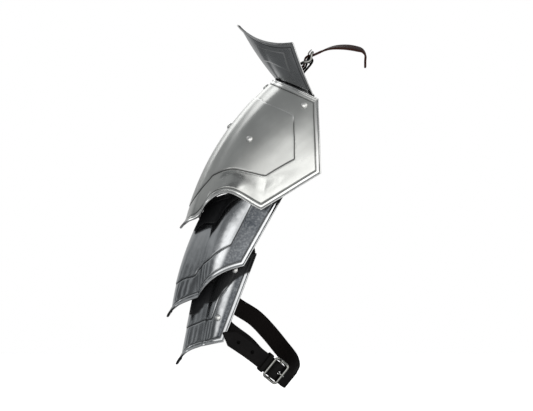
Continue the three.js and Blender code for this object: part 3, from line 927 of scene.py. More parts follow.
# Pairs between which something begins: there is none of it at the first number and all of it at the second.
FOOT_SHADE = ((3.0, 1.6), (0.6, 0.3))  # painted shade on the foot of a ridge, given as blackened steel: millimetres above it, columns from the ridge
POINT_SHADE = ((10.0, 6.0), (0.16, 0.06))  # painted shade on its point, which reaches further up
GLOSS = ((0.66, 0.80), (0.0, 3.0))  # glossier band: share of the way down, millimetres outside the panel
KEEL_DOWN = (0.78, 0.93)  # shares of the way down between which the keel rises
KEEL_WIDTH = 0.15  # in columns
FLARE_UP = (24.0, 4.0)  # millimetres above the foot between which the flare turns out
FLARE_SIDES = ((1.02, 1.2), (1.62, 1.48))  # columns between which it begins, from the crease and from the cusp
BORDER_ROWS = (0, 0.35, 0.8, 1.3, 1.9, 2.5, 3.2, 3.9, 4.5, 4.95, 5.3, 5.65, 6.0, 6.4, 7.0)
NOT_NEAR = 50.0  # distance that an attribute holds where there is nothing to be near


def border_profile(edge: Array) -> Array:
    """Returns how far a border stands proud at some distances from its edge: lip, flat band and groove."""
    band = RIM_RISE * ease(edge, RIM, RIM - 0.9) + ROLL_RISE * ease(edge, ROLL, 0)
    return band - RIM_GROOVE * bell(edge, RIM_GROOVE_AT, GROOVE_WIDTH)


def panel_profile(line: Array) -> Array:
    """Returns how far a panel stands proud at some distances inside the line struck round it."""
    return PANEL_RISE * ease(line, -0.2, PANEL_STEP)


@dataclass(frozen=True)
class Outline:
    """A line struck in a plate, given on its front half and mirrored: smooth runs that meet at corners."""

    runs: tuple[tuple[Pair, ...], ...]
    cap: tuple[Pair, ...] = ()  # corners that close the area on the front half, past the line's end

    def traced(self) -> Array:
        """Returns the line's columns and stations on the front half, from the ridge outwards."""
        runs = [catmull(np.array(run), 12) for run in self.runs]
        return np.vstack([runs[0], *(run[1:] for run in runs[1:])])

    def line(self) -> Array:
        """Returns the whole line, back half and front half."""
        front = self.traced()
        return np.vstack([(front * (-1, 1))[::-1], front])

    def area(self) -> Array:
        """Returns the corners of the area that the line closes."""
        front = np.vstack([self.traced(), *([self.cap] if self.cap else [])])
        return np.vstack([(front * (-1, 1))[::-1], front])


@dataclass
class Plate:
    """A fluted steel plate with a turned-out border, a raised panel and painted shade, given as blackened
    steel, on the part that tucks under the plate above.
    """

    name: str
    form: PlateForm
    finish: PlateSteel
    panel: Outline
    # outline of the painted shade where the plate lies under the one above
    tucked: Outline | None
    knots: tuple[float, ...] = (0, 1)  # columns that a line of the grid follows exactly
    pitch: Pair = (1.1, 1.1)  # spacing of the grid across and along, in millimetres
    soften: Pair = (0.3, 0.15)  # how far the crease is dressed smooth at the top and at the foot
    line_darkening: Pair = (-1.0, -0.5)  # shares of the way down between which the struck line turns dark with dirt and painted shade, below the panel's lit top
    dulled: Pair = (3.0, 3.5)  # columns between which the steel turns dull towards the free edge
    planish: int = 30  # how many rounds of dressing the creases get
    crease_width: float = 0.22  # how wide that dressing is, in columns
    keel: float = 0.0  # height of the soft keel that runs up from the front cusp
    flare: float = 0.0  # how far the metal turns out above the scallop
    columns: Array = field(init=False)
    shares: Array = field(init=False)  # how far along a column each row lies
    places: Array = field(init=False)  # column and station of each point
    base: Array = field(init=False)  # the plain bent sheet
    foot: Array = field(init=False)  # how far each point is from the foot of its column
    layers: Layers = field(init=False)
    face: Array = field(init=False)  # the finished outer face

    def __post_init__(self) -> None:
        """Works out the grid, the plain bent sheet, what the finish reads and the finished outer face."""
        self.columns, self.shares = self.spaced_columns(), self.spaced_shares()
        column, share = np.meshgrid(self.columns, self.shares, indexing="ij")
        across = np.abs(column)
        stations = mix(self.form.top(across), self.form.bottom(across), share)
        self.places = np.stack([column, stations], axis=-1)
        self.base = self.dressed(self.form.point(column, stations), across, share)
        self.foot = np.linalg.norm(self.base[:, -1:] - self.base, axis=-1)
        self.layers = self.marked(across, share)
        self.face = self.base + self.relief(across, share)[..., None] * grid_normals(self.base)

    def spaced_columns(self) -> Array:
        """Spaces the grid's columns evenly on the sheet, close together at both free edges.

        Returns:
            The columns, from the chest edge to the back edge.
        """
        middle = float(mix(self.form.top(np.float64(1)), self.form.bottom(np.float64(1)), 0.6))
        fine = np.linspace(0, 2, 801)
        arc = reach_along(self.form.point(fine, middle))
        marks = np.interp(self.knots, fine, arc)
        border = arc[-1] - np.array(BORDER_ROWS[::-1])
        marks = np.append(marks[marks < border[0] - self.pitch[0]], border[0])
        walks = []
        for a, b in zip(marks, marks[1:]):
            walks.append(np.linspace(a, b, max(2, round((b - a) / self.pitch[0]) + 1))[:-1])
        half = np.interp(np.concatenate([*walks, border]), arc, fine)
        return np.concatenate([half[::-1], -half[1:]])

    def spaced_shares(self) -> Array:
        """Spaces the grid's rows, close together at both borders.

        Returns:
            How far along its column each row lies.
        """
        middle = np.float64(1.5)
        stations = np.linspace(float(self.form.top(middle)), float(self.form.bottom(middle)), 50)
        length = reach_along(self.form.point(middle, stations))[-1]
        border = np.array(BORDER_ROWS)
        inner = np.linspace(border[-1], length - border[-1], round((length - 2 * border[-1]) / self.pitch[1]))
        return np.concatenate([border, inner[1:-1], length - border[::-1]]) / length

    def dressed(self, grid: Array, across: Array, share: Array) -> Array:
        """Rounds the creases as a planishing hammer leaves them.

        Args:
            grid: the sharp sheet.
            across: how many columns from the ridge each point lies.
            share: how far along its column it lies.

        Returns:
            The softened sheet.
        """
        near = bell(across, 1, self.crease_width)
        strength = (0.5 * near * mix(*self.soften, share**0.6))[1:-1, :, None]
        grid = grid.copy()
        for _ in range(self.planish):
            grid[1:-1] += strength * ((grid[:-2] + grid[2:]) / 2 - grid[1:-1])
        return grid

    def marked(self, across: Array, share: Array) -> Layers:
        """Works out the attributes that the finish reads.

        Args:
            across: how many columns from the ridge each point lies.
            share: how far along its column it lies.

        Returns:
            The values of each point, by the attributes' names.
        """
        edge, line = self.border_distance(), self.signed(self.panel)
        (foot_up, foot_side), (point_up, point_side) = FOOT_SHADE, POINT_SHADE
        foot = ease(self.foot, *foot_up) * ease(across, *foot_side)
        return {
            "skin": grid_skin(self.base),
            "edge": edge,
            "line": line,
            "grime": ease(share, *self.line_darkening),
            "dull": ease(across, *self.dulled) * ease(edge, RIM, RIM + 1.2),
            "tucked": self.signed(self.tucked) if self.tucked else np.full(edge.shape, -NOT_NEAR),
            "tip": np.maximum(foot, ease(self.foot, *point_up) * ease(across, *point_side)),
            "bright": ease(share, *GLOSS[0]) * ease(-line, *GLOSS[1]),
        }

    def sample(self, values: Array, places: Array) -> Array:
        """Reads a grid of values at columns and stations.

        Args:
            values: one value or point for each place of the grid.
            places: columns and stations.

        Returns:
            The values between the grid's own.
        """
        column, station = places[:, 0], places[:, 1]
        i = np.interp(column, self.columns[::-1], np.arange(len(self.columns))[::-1])
        top, bottom = self.form.top(np.abs(column)), self.form.bottom(np.abs(column))
        j = np.interp((station - top) / (bottom - top), self.shares, np.arange(len(self.shares)))
        low_i = np.minimum(i.astype(int), len(self.columns) - 2)
        low_j = np.minimum(j.astype(int), len(self.shares) - 2)
        a, b = (i - low_i)[:, None], (j - low_j)[:, None]
        first = mix(values[low_i, low_j], values[low_i + 1, low_j], a)
        return mix(first, mix(values[low_i, low_j + 1], values[low_i + 1, low_j + 1], a), b)

    def signed(self, outline: Outline) -> Array:
        """Returns how far each point is inside an outline, negative outside it."""
        line = evenly(self.sample(self.base, outline.line()), WALK)
        distance = np.minimum(nearest(line, self.base), NOT_NEAR)
        return np.where(within(outline.area(), self.places), distance, -distance)

    def border_distance(self) -> Array:
        """Returns how far each point is from the plate's nearest border."""
        loop = [self.base[:, 0], self.base[-1], self.base[::-1, -1], self.base[0, ::-1]]
        return np.minimum(nearest(evenly(np.vstack(loop), WALK), self.base), NOT_NEAR)

    def relief(self, across: Array, share: Array) -> Array:
        """Raises the border, the point, the keel, the flare and the panel.

        Args:
            across: how many columns from the ridge each point lies.
            share: how far along its column it lies.

        Returns:
            How far each point stands proud of the plain sheet.
        """
        edge, line = self.layers["edge"], self.layers["line"]
        point = TIP_RISE * ease(self.foot, TIP_REACH, 0) * np.clip(1 - across * 1.6, 0, 1)
        keel = self.keel * bell(across, SHOULDER_CUSP, KEEL_WIDTH) * ease(share, *KEEL_DOWN)
        flare = self.flare * ease(self.foot, *FLARE_UP)
        for side in FLARE_SIDES:
            flare = flare * ease(across, *side)
        panel = panel_profile(line) - PANEL_GROOVE * bell(line, -0.2, GROOVE_WIDTH)
        return border_profile(edge) + point + keel + flare + panel * ease(edge, RIM, RIM + 3)

    def seat(self, column: float, station: float) -> tuple[Array, Array]:
        """Returns the point of the finished face at a column and station, and the way outwards there."""
        place = np.array([[column, station]])
        return self.sample(self.face, place)[0], unit(self.sample(grid_normals(self.base), place)[0])

    def build(self) -> Piece:
        """Makes the plate and dresses it."""
        wall = STEEL + TIP_THICKER * self.layers["tip"][..., None]
        piece = sheet_piece(f"{self.name}_steel", self.face, wall, self.layers, LIP)
        return dress(piece, self.finish.build(), [self.name])


SATIN = PlateSteel("satin steel", (0.60, 0.607, 0.588), 0.33)
POLISHED = PlateSteel("polished steel", (0.63, 0.645, 0.66), 0.19, 0.55, 0.04, mottle=0.14, rim=0.12)
DARK_SATIN = PlateSteel("guard steel", (0.56, 0.565, 0.57), 0.27)

SHOULDER_PANEL = Outline(
    runs=(
        ((0, 0.19), (0.615, 0.190), (0.875, 0.194), (1.49, 0.224), (1.72, 0.262), (1.748, 0.280)),
        ((1.748, 0.280), (1.81, 0.512), (1.845, 0.744)),
        ((1.845, 0.744), (1.76, 0.797), (1.68, 0.843)),
        ((1.68, 0.843), (1.55, 0.784), (1.385, 0.738), (1.235, 0.738), (0.995, 0.769), (0.73, 0.805),
         (0.56, 0.841), (0.25, 0.885), (0, 0.9)),
    ),
)
UPPER_PANEL = Outline(
    runs=(
        ((0, 60), (0.215, 57.6), (0.56, 49.9), (0.83, 44.1), (0.96, 34.7), (1.31, 23.3), (1.47, 12.4),
         (1.675, -1.7)),
        ((1.675, -1.7), (1.68, -19.9), (1.67, -36.9), (1.65, -53.9), (1.62, -76)),
    ),
    cap=((1.62, -120),),
)
# Outlines of the painted shade on each lame where it lies under the plate above, given as blackened steel.
UPPER_OVERLAP_SHADE = Outline(
    runs=(
        ((0, 0), (0.3, -3.1), (0.545, -10.8), (0.775, -15.5), (0.98, -17.2), (1.145, -21.9), (1.2, -35),
         (1.31, -47.4), (1.5, -55.4), (2, -61)),
    ),
    cap=((2.1, -61), (2.1, -120)),
)
LOWER_PANEL = Outline(
    runs=(
        ((0, 31), (0.205, 29.6), (0.525, 25.5), (0.77, 21.1), (0.99, 16.5), (1.39, 13.9), (1.44, 11)),
        ((1.44, 11), (1.465, 4.2), (1.505, -12.5), (1.665, -28.9), (1.72, -60)),
    ),
    cap=((1.72, -100),),
)
LOWER_OVERLAP_SHADE = Outline(
    runs=(
        ((0, 16), (0.35, 15.3), (0.62, 12.5), (0.80, 5.0), (0.90, -1.4), (1.04, -2.3), (1.32, -4.5),
         (1.5, -12.7), (1.56, -21.2), (1.685, -28.7), (1.85, -40), (2, -46)),
    ),
    cap=((2.1, -46), (2.1, -100)),
)


def all_plates() -> dict[str, Plate]:
    """Returns the shoulder plate and the two lames, by the names of their solids."""
    plates = (
        Plate("shoulder_plate", SHOULDER, SATIN, SHOULDER_PANEL, None, (0, 1, SHOULDER_CUSP), (1.1, 1.0),
              (1, 0.25), (0.24, 0.34), planish=120, crease_width=0.32, keel=2.2, flare=2.2),
        Plate("upper_lame", UPPER, POLISHED, UPPER_PANEL, UPPER_OVERLAP_SHADE, dulled=(1.62, 1.70)),
        Plate("lower_lame", LOWER, POLISHED, LOWER_PANEL, LOWER_OVERLAP_SHADE, dulled=(1.70, 1.78)),
    )
    return {plate.name: plate for plate in plates}


@dataclass
class NeckGuard:
    """The standing plate before the neck: a flange inside the shoulder plate, a fold and a flaring wall."""

    name: str = "neck_guard"
    flange: float = 19.0  # how far the flange reaches down inside the shoulder plate
    fold: float = -0.018  # station where the wall folds up
    end: float = 1.93  # last column, just short of the shoulder plate's edge
    brow: tuple[Triple, ...] = ((-34.6, 0, 72), (-26, -26, 60), (-2, -56, 45), (25, -72, 49.5))
    bow: float = -2.0  # how far the wall bends in between its fold and its top; outwards if negative
    lip: float = 0.8  # how much further than a plate's the top border turns out
    rows: tuple[int, int] = (14, 70)  # rows of the grid on the flange and on the wall
    lines: int = 181
    fold_rounds: int = 6  # rounds that make the fold a bend of a few millimetres
    dress_rounds: int = 12  # rounds that even the plate out across
    panel_columns: Pair = (0.62, 1.62)  # columns between which a raised panel lies
    panel_heights: Pair = (0.38, 0.80)  # shares of the wall's height between which it lies
    panel_arch: float = 0.1  # how far its foot arches up
    wall_high: float = 60.0  # about how high the wall is
    column_wide: Pair = (30.0, 34.0)  # about how wide a column is at the panel's two ends

    def top_edge(self, column: float) -> Array:
        """Places the top border.

        Args:
            column: the column.

        Returns:
            The border's point there.
        """
        t = abs(column) / self.end
        a, b, c, d = np.array(self.brow, float)
        point = a * (1 - t) ** 3 + 3 * b * t * (1 - t) ** 2 + 3 * c * t * t * (1 - t) + d * t**3
        return point * (1, math.copysign(1, column) if column else 1, 1)

    def line(self, column: float) -> Array:
        """Places one line of the plate's outer face.

        Args:
            column: the line's column.

        Returns:
            The points, from the top border to the flange's foot.
        """
        _, along = SHOULDER.speed(column, 0.1)
        foot = self.flange / np.linalg.norm(along)
        stations = [mix(foot, self.fold, k / self.rows[0]) for k in range(self.rows[0] + 1)]
        flange = [SHOULDER.under(column, station, STEEL + GAP) for station in stations]
        share = np.linspace(0, 1, self.rows[1] + 1)[1:, None]
        return np.vstack([flange, mix(flange[-1], self.top_edge(column), share)])[::-1]

    def sheet(self, columns: Array, rise: Array) -> Array:
        """Bends the plain sheet.

        Args:
            columns: the columns of its lines.
            rise: the height of each row as a share of the wall's, 0 on the flange.

        Returns:
            The grid of points of its outer face.
        """
        grid = np.stack([self.line(column) for column in columns])
        for _ in range(self.fold_rounds):
            grid[:, 1:-1] += 0.25 * (grid[:, :-2] + grid[:, 2:] - 2 * grid[:, 1:-1])
        for _ in range(self.dress_rounds):
            grid[1:-1] += 0.25 * (grid[:-2] + grid[2:] - 2 * grid[1:-1])
        return grid - self.bow * np.sin(math.pi * rise)[None, :, None] * grid_normals(grid)

    def panel_distance(self, across: Array, rise: Array) -> Array:
        """Measures about how far each point is inside the raised panel on its half of the wall.

        Args:
            across: how many columns from the middle each point lies.
            rise: its height as a share of the wall's.

        Returns:
            The distances in millimetres, negative outside it.
        """
        (first, last), (low, high) = self.panel_columns, self.panel_heights
        foot = low + self.panel_arch * np.sin(2.6 * (across - 0.4))
        sides = [(across - first) * self.column_wide[0], (last - across) * self.column_wide[1]]
        return np.minimum.reduce([*sides, (high - rise) * self.wall_high, (rise - foot) * self.wall_high])

    def build(self) -> Piece:
        """Makes the guard and dresses it.

        Returns:
            The piece.
        """
        columns = np.linspace(self.end, -self.end, self.lines)
        rise = np.clip(1 - np.arange(sum(self.rows) + 1) / self.rows[1], 0, 1)
        grid = self.sheet(columns, rise)
        across, rise = np.meshgrid(np.abs(columns), rise, indexing="ij")
        height = np.linalg.norm(grid - grid[:, :1], axis=-1)
        nearer = np.where(np.arange(self.lines)[:, None, None] < self.lines // 2, grid[:1], grid[-1:])
        border = np.minimum(height, np.linalg.norm(grid - nearer, axis=-1))
        layers = {"skin": grid_skin(grid), "edge": np.where(rise > 0, border, NOT_NEAR)}
        layers["line"] = np.where(rise > 0, self.panel_distance(across, rise), -NOT_NEAR)
        for name, value in (("tucked", -NOT_NEAR), ("grime", 0.4), ("dull", 0), ("tip", 0), ("bright", 0)):
            layers[name] = np.full(rise.shape, float(value))
        relief = self.lip * ease(layers["edge"], ROLL, 0) + border_profile(layers["edge"])
        relief = (relief + panel_profile(layers["line"])) * ease(rise, 0, 0.04)
        face = grid + relief[..., None] * grid_normals(grid)
        piece = sheet_piece(f"{self.name}_steel", face, STEEL, layers, LIP)
        return dress(piece, DARK_SATIN.build(), [self.name])


# ---- rivets


GRIP_LEATHER = STEEL + PLAY + HIDE + 3 * GAP


@dataclass(frozen=True)
class Rivet:
    """One rivet: its solid's name, its plate, where it sits, and how thick what it holds is."""

    name: str
    plate: str
    column: float
    station: float
    grip: float = GRIP_LEATHER


GRIP_STRAP = STEEL + STRAP_PLAY + HIDE + 5 * GAP
GRIP_GUARD = STEEL + GAP + STEEL + 2 * GAP
SIDES = (("front", 1), ("ridge", 0), ("back", -1))
STRAP_RIVET_COLUMN = 1.62


def all_rivets() -> list[Rivet]:
    """Returns the fourteen rivets of the plates."""
    rivets = []
    for side, sign in SIDES:
        ridge = side == "ridge"
        guard_grip = GRIP_GUARD + (HIDE + PLAY if ridge else 0)
        rivets += [
            Rivet(f"guard_rivet_{side}", "shoulder_plate", sign * 1.815, 0.075 if ridge else 0.13, guard_grip),
            Rivet(f"plate_rivet_{side}", "shoulder_plate", sign * 1.41, 0.43 if ridge else 0.526),
            Rivet(f"upper_lame_rivet_{side}", "upper_lame", sign * 1.5, -20 if ridge else -62),
            Rivet(f"lower_lame_rivet_{side}", "lower_lame", sign * 1.66, -13 if ridge else -44.5),
        ]
    rivets.append(Rivet("strap_rivet_front", "lower_lame", STRAP_RIVET_COLUMN, 10.3, GRIP_STRAP))
    rivets.append(Rivet("strap_rivet_back", "lower_lame", -STRAP_RIVET_COLUMN, -14, GRIP_STRAP))
    return rivets


class GeometryTree(Tree):
    """A Geometry Nodes tree with named inputs, that ends in realized instances."""

    def __init__(self, name: str, sizes: dict[str, float]) -> None:
        """Starts the tree.

        Args:
            name: its name.
            sizes: its inputs and their values in millimetres.
        """
        super().__init__(bpy.data.node_groups.new(name, "GeometryNodeTree"))
        self.sizes = sizes
        for socket, side, kind in (
            ("Geometry", "INPUT", "Geometry"),
            ("Finish", "INPUT", "Material"),
            *((size, "INPUT", "Float") for size in sizes),
            ("Geometry", "OUTPUT", "Geometry"),
        ):
            self.tree.interface.new_socket(name=socket, in_out=side, socket_type=f"NodeSocket{kind}")
        self.start = self.tree.nodes.new("NodeGroupInput")

    def size(self, name: str) -> Socket:
        """Returns a named input."""
        return self.start.outputs[name]

    def vector(self, x: object, y: object, z: object) -> Socket:
        """Returns three numbers as one vector."""
        return self.add("ShaderNodeCombineXYZ", {0: x, 1: y, 2: z}).outputs[0]

    def named(self, name: str, kind: str = "FLOAT") -> Socket:
        """Returns a named attribute of the points."""
        return self.add("GeometryNodeInputNamedAttribute", {"Name": name}, data_type=kind).outputs[0]

    def moved(self, mesh: Socket, **change: object) -> Socket:
        """Returns a mesh with a Translation or Rotation."""
        return self.add("GeometryNodeTransform", {"Geometry": mesh, **change}).outputs[0]

    def joined(self, *parts: Socket) -> Socket:
        """Returns meshes or instances as one."""
        node = self.add("GeometryNodeJoinGeometry")
        for part in parts:
            self.tree.links.new(part, node.inputs[0])
        return node.outputs[0]

    def spread(self, points: Socket, shape: Socket, **change: object) -> Socket:
        """Returns a shape set on each point, turned as the point's own attribute turn says."""
        turn = self.add("FunctionNodeEulerToRotation", {0: self.named("turn", "FLOAT_VECTOR")}).outputs[0]
        inputs = {"Points": points, "Instance": shape, "Rotation": turn, **change}
        return self.add("GeometryNodeInstanceOnPoints", inputs).outputs[0]

    def realized(self, instances: Socket) -> Socket:
        """Returns instances as plain mesh."""
        return self.add("GeometryNodeRealizeInstances", {0: instances}).outputs[0]

    def end(self, geometry: Socket) -> None:
        """Realizes the instances, sets the finish and ends the tree."""
        inputs = {"Geometry": self.realized(geometry), "Material": self.start.outputs["Finish"]}
        finished = self.add("GeometryNodeSetMaterial", inputs).outputs[0]
        smooth = self.add("GeometryNodeSetShadeSmooth", {"Geometry": finished}).outputs[0]
        self.add("NodeGroupOutput", {0: smooth})

    def run(self, carrier: Piece, name: str, finish: Material) -> Piece:
        """Runs the tree on an object and keeps what it makes as a plain mesh.

        Args:
            carrier: the object whose mesh goes in, which is removed.
            name: the new piece's name.
            finish: the material that the tree sets.

        Returns:
            The new piece.
        """
        modifier = carrier.modifiers.new("tree", "NODES")
        modifier.node_group = self.tree
        for item in self.tree.interface.items_tree:
            if item.in_out == "INPUT" and item.name in self.sizes:
                modifier[item.identifier] = float(self.sizes[item.name] * MM)
            elif item.in_out == "INPUT" and item.name == "Finish":
                modifier[item.identifier] = finish
        bpy.context.view_layer.update()
        depsgraph = bpy.context.evaluated_depsgraph_get()
        mesh = bpy.data.meshes.new_from_object(carrier.evaluated_get(depsgraph), depsgraph=depsgraph)
        mesh.name = name
        bpy.data.objects.remove(carrier)
        return placed(name, mesh)


@dataclass
class RivetSet:
    """All the rivets: a low domed head, a shank, a washer and the peened end on each point."""

    rivets: list[Rivet]
    head: float = 3.8
    dome: float = 2.5
    shank: float = 1.5
    washer: float = 3.4
    washer_thick: float = 0.9
    peen: float = 2.1
    peen_dome: float = 0.8

    def points(self, plates: dict[str, Plate]) -> Piece:
        """Sets a point on the plates for each rivet.

        Args:
            plates: the plates, by the names of their solids.

        Returns:
            The points, each with its turn and its grip.
        """
        seats = [plates[rivet.plate].seat(rivet.column, rivet.station) for rivet in self.rivets]
        turns = [list(Vector(normal).to_track_quat("Z", "Y").to_euler()) for _, normal in seats]
        grips = [(rivet.grip + PANEL_RISE) * MM for rivet in self.rivets]
        layers = {"turn": np.array(turns), "grip": np.array(grips)}
        return make_piece("rivet_points", np.array([seat for seat, _ in seats]), [], layers)

    def tree(self) -> GeometryTree:
        """Builds the tree that sets a rivet on each point.

        Returns:
            The tree.
        """
        sizes = {"Head": self.head, "Dome": self.dome, "Shank": self.shank, "Washer": self.washer}
        sizes |= {"Washer Thickness": self.washer_thick, "Peen": self.peen, "Peen Dome": self.peen_dome}
        t = GeometryTree("rivets", sizes)
        points, grip = t.start.outputs["Geometry"], t.named("grip")
        disc = self.rod_mesh(t, t.size("Washer"), t.size("Washer Thickness"), 28)
        down = t.math("MULTIPLY", t.size("Washer Thickness"), -1.0)
        peen = t.moved(self.dome_mesh(t, "Peen", "Peen Dome"), Rotation=(math.pi, 0, 0))
        closing = t.joined(disc, t.moved(peen, Translation=t.vector(0.0, 0.0, down)))
        heads = t.spread(points, self.dome_mesh(t, "Head", "Dome"))
        stems = t.spread(points, self.rod_mesh(t, t.size("Shank"), 1.0, 12), Scale=t.vector(1.0, 1.0, grip))
        back = t.vector(0.0, 0.0, t.math("MULTIPLY", grip, -1.0))
        sunk = {"Instances": t.spread(points, closing), "Translation": back}
        t.end(t.joined(heads, stems, t.add("GeometryNodeTranslateInstances", sunk).outputs[0]))
        return t

    @staticmethod
    def dome_mesh(t: GeometryTree, radius: str, height: str) -> Socket:
        """Makes a low dome with a flat underside, standing on the origin.

        Args:
            t: the tree.
            radius: the name of the input with its radius.
            height: the name of the input with its height.

        Returns:
            The mesh.
        """
        ball = t.add("GeometryNodeMeshUVSphere", {"Segments": 28, "Rings": 14, "Radius": 1.0}).outputs[0]
        parts = t.add("ShaderNodeSeparateXYZ", {0: t.add("GeometryNodeInputPosition").outputs[0]}).outputs
        lift = t.math("MULTIPLY", t.math("MAXIMUM", parts[2], 0.0), t.size(height))
        x, y = (t.math("MULTIPLY", part, t.size(radius)) for part in parts[:2])
        return t.add("GeometryNodeSetPosition", {"Geometry": ball, "Position": t.vector(x, y, lift)}).outputs[0]

    @staticmethod
    def rod_mesh(t: GeometryTree, radius: object, depth: object, sides: int) -> Socket:
        """Makes a round rod whose top is at the origin and which runs down.

        Args:
            t: the tree.
            radius: its radius.
            depth: its length.
            sides: how many sides it has.

        Returns:
            The mesh.
        """
        sizes = {"Vertices": sides, "Radius": radius, "Depth": depth}
        rod = t.add("GeometryNodeMeshCylinder", sizes).outputs["Mesh"]
        return t.moved(rod, Translation=t.vector(0.0, 0.0, t.math("MULTIPLY", depth, -0.5)))

    def build(self, plates: dict[str, Plate]) -> Piece:
        """Makes all the rivets as one piece and dresses it."""
        finish = SmallSteel("rivet steel", tone=(0.92, 0.92, 0.90), roughness=0.38).build()
        piece = self.tree().run(self.points(plates), "rivets", finish)
        return dress(piece, finish, [rivet.name for rivet in self.rivets])


# ---- inner leathers


Stop = tuple[PlateForm, float, float, float]


@dataclass
class InnerLeather:
    """A leather riveted under the three plates in turn. Each stop is a plate, column, station and depth."""

    side: str
    stops: tuple[Stop, ...]
    width: float = 24.0
    lines: int = 13
    steps: int = 9

    def build(self, finish: Material) -> Piece:
        """Makes the leather and dresses it.

        Args:
            finish: its material.

        Returns:
            The piece.
        """
        grid = []
        for offset in np.linspace(self.width / 2, -self.width / 2, self.lines):
            route = []
            for form, column, station, depth in self.stops:
                across, _ = form.speed(column, station)
                route.append(form.under(column + offset / np.linalg.norm(across), station, depth))
            grid.append(catmull(np.array(route), self.steps))
        face = np.stack(grid)
        across = np.abs(np.linspace(-1, 1, self.lines))[:, None] + 0 * face[..., 0]
        layers = {"skin": grid_skin(face), "flesh": ease(across, 0.93, 1.0)}
        piece = sheet_piece(f"inner_leather_{self.side}_hide", face, HIDE, layers, 0.5)
        return dress(piece, finish, [f"inner_leather_{self.side}"])


def all_leathers() -> list[InnerLeather]:
    """Returns the leathers of the ridge, the front and the back."""
    ridge = (
        (SHOULDER, 0, 0.38, SNUG), (SHOULDER, 0, 0.5, SNUG), (SHOULDER, 0, 0.64, SNUG + 5),
        (UPPER, 0, -36, SNUG + 2.5), (UPPER, 0, -20, SNUG), (UPPER, 0, 0, SNUG), (UPPER, 0, 34, SNUG + 9),
        (LOWER, 0, -34, SNUG + 3), (LOWER, 0, -20, SNUG + 0.2), (LOWER, 0, -4, SNUG),
    )
    side = (
        (SHOULDER, 1.41, 0.47, SNUG), (SHOULDER, 1.41, 0.58, SNUG + 0.5), (UPPER, 1.5, -84, SNUG + 3),
        (UPPER, 1.5, -66, SNUG), (UPPER, 1.5, -50, SNUG), (UPPER, 1.54, -20, SNUG + 4),
        (LOWER, 1.66, -68, SNUG + 2), (LOWER, 1.66, -50, SNUG), (LOWER, 1.66, -36, SNUG),
    )
    mirrored = tuple((form, -column, station, depth) for form, column, station, depth in side)
    return [InnerLeather("ridge", ridge), InnerLeather("front", side), InnerLeather("back", mirrored)]


# ---- straps and buckles


WIRE = 1.5  # radius of a buckle's wire
FRAME_HALF = 8.5  # from a buckle's middle bar to the wire at each end of it
FRAME_ACROSS = STRAP_WIDTH / 2 + 1 + WIRE
FOLD_RADIUS = WIRE + GAP + HIDE / 2
PLY = LAYER / 2
BAR_DROP = 4.5  # how far the middle bar lies below the wires at the ends
PLIES_DROP = 7.2  # how far the middle between a chape's two plies lies below those wires
UPPER_PLY = PLY - PLIES_DROP
LOWER_PLY = -PLY - PLIES_DROP
TOP_PLY = UPPER_PLY + LAYER + 0.03
TIP_LENGTH = 14.0  # how long the pointed end of a strap is
HOLE_PITCH = 19.0  # from one punched hole to the next
LOOP_PACE = 0.6  # spacing of the points of a rounded loop


@dataclass(frozen=True)
class Seat:
    """A buckle's own axes: x along the strap to its long end, y across it, z away from the wearer."""

    centre: Triple
    along: Triple
    across: Triple

    def axes(self) -> Array:
        """Returns the three axes, one to a row."""
        x = unit(np.array(self.along, float))
        y = unit(np.array(self.across, float) - np.dot(self.across, x) * x)
        return np.stack([x, y, np.cross(x, y)])

    def put(self, points: Sequence[Triple] | Array) -> Array:
        """Returns points given in these axes in the object's frame."""
        return np.array(self.centre, float) + np.asarray(points, float) @ self.axes()


def chape_fold() -> list[Triple]:
    """Returns a chape's route in its buckle's axes: turned-back end, climb, fold round the bar, and out."""
    arc = [math.radians(angle) for angle in (127, 90, 45, 0, -45, -90)]
    turn = [(FOLD_RADIUS * math.cos(a), 0, FOLD_RADIUS * math.sin(a) - BAR_DROP) for a in arc]
    climb = ((-26, 0), (-18, 0), (-11, 0), (-8, 0.18), (-5.86, 0.83), (-3.4, 2.58))
    back = ((-5, 0.35), (-10, 0.03), (-18, 0), (-26, 0))
    return [*((x, 0, UPPER_PLY + z) for x, z in climb), *turn, *((x, 0, LOWER_PLY + z) for x, z in back)]


def billet_climb() -> list[Triple]:
    """Returns a long end's route in its buckle's axes: under one wire, over the bar, under the other wire."""
    over = ((19, -4.4), (FRAME_HALF, -3.25), (6.2, -2.3), (4.4, -1), (2.5, 0.45), (0, 1.05), (-2.3, 0.55))
    down = ((-4.2, -0.75), (-7.39, -3.05), *((x, TOP_PLY) for x in (-9.5, -14, -20, -27)))
    return [(x, 0, z) for x, z in (*over, *down)]


class Punch(Enum):
    """What a punch leaves in a strap: its length as a multiple of its width."""

    ROUND = 1.0
    LONG = 1.9
    SLOT = 3.4


@dataclass(frozen=True)
class Cut:
    """One punched hole: how far along the strap it is, and its shape."""

    reach: float
    shape: Punch


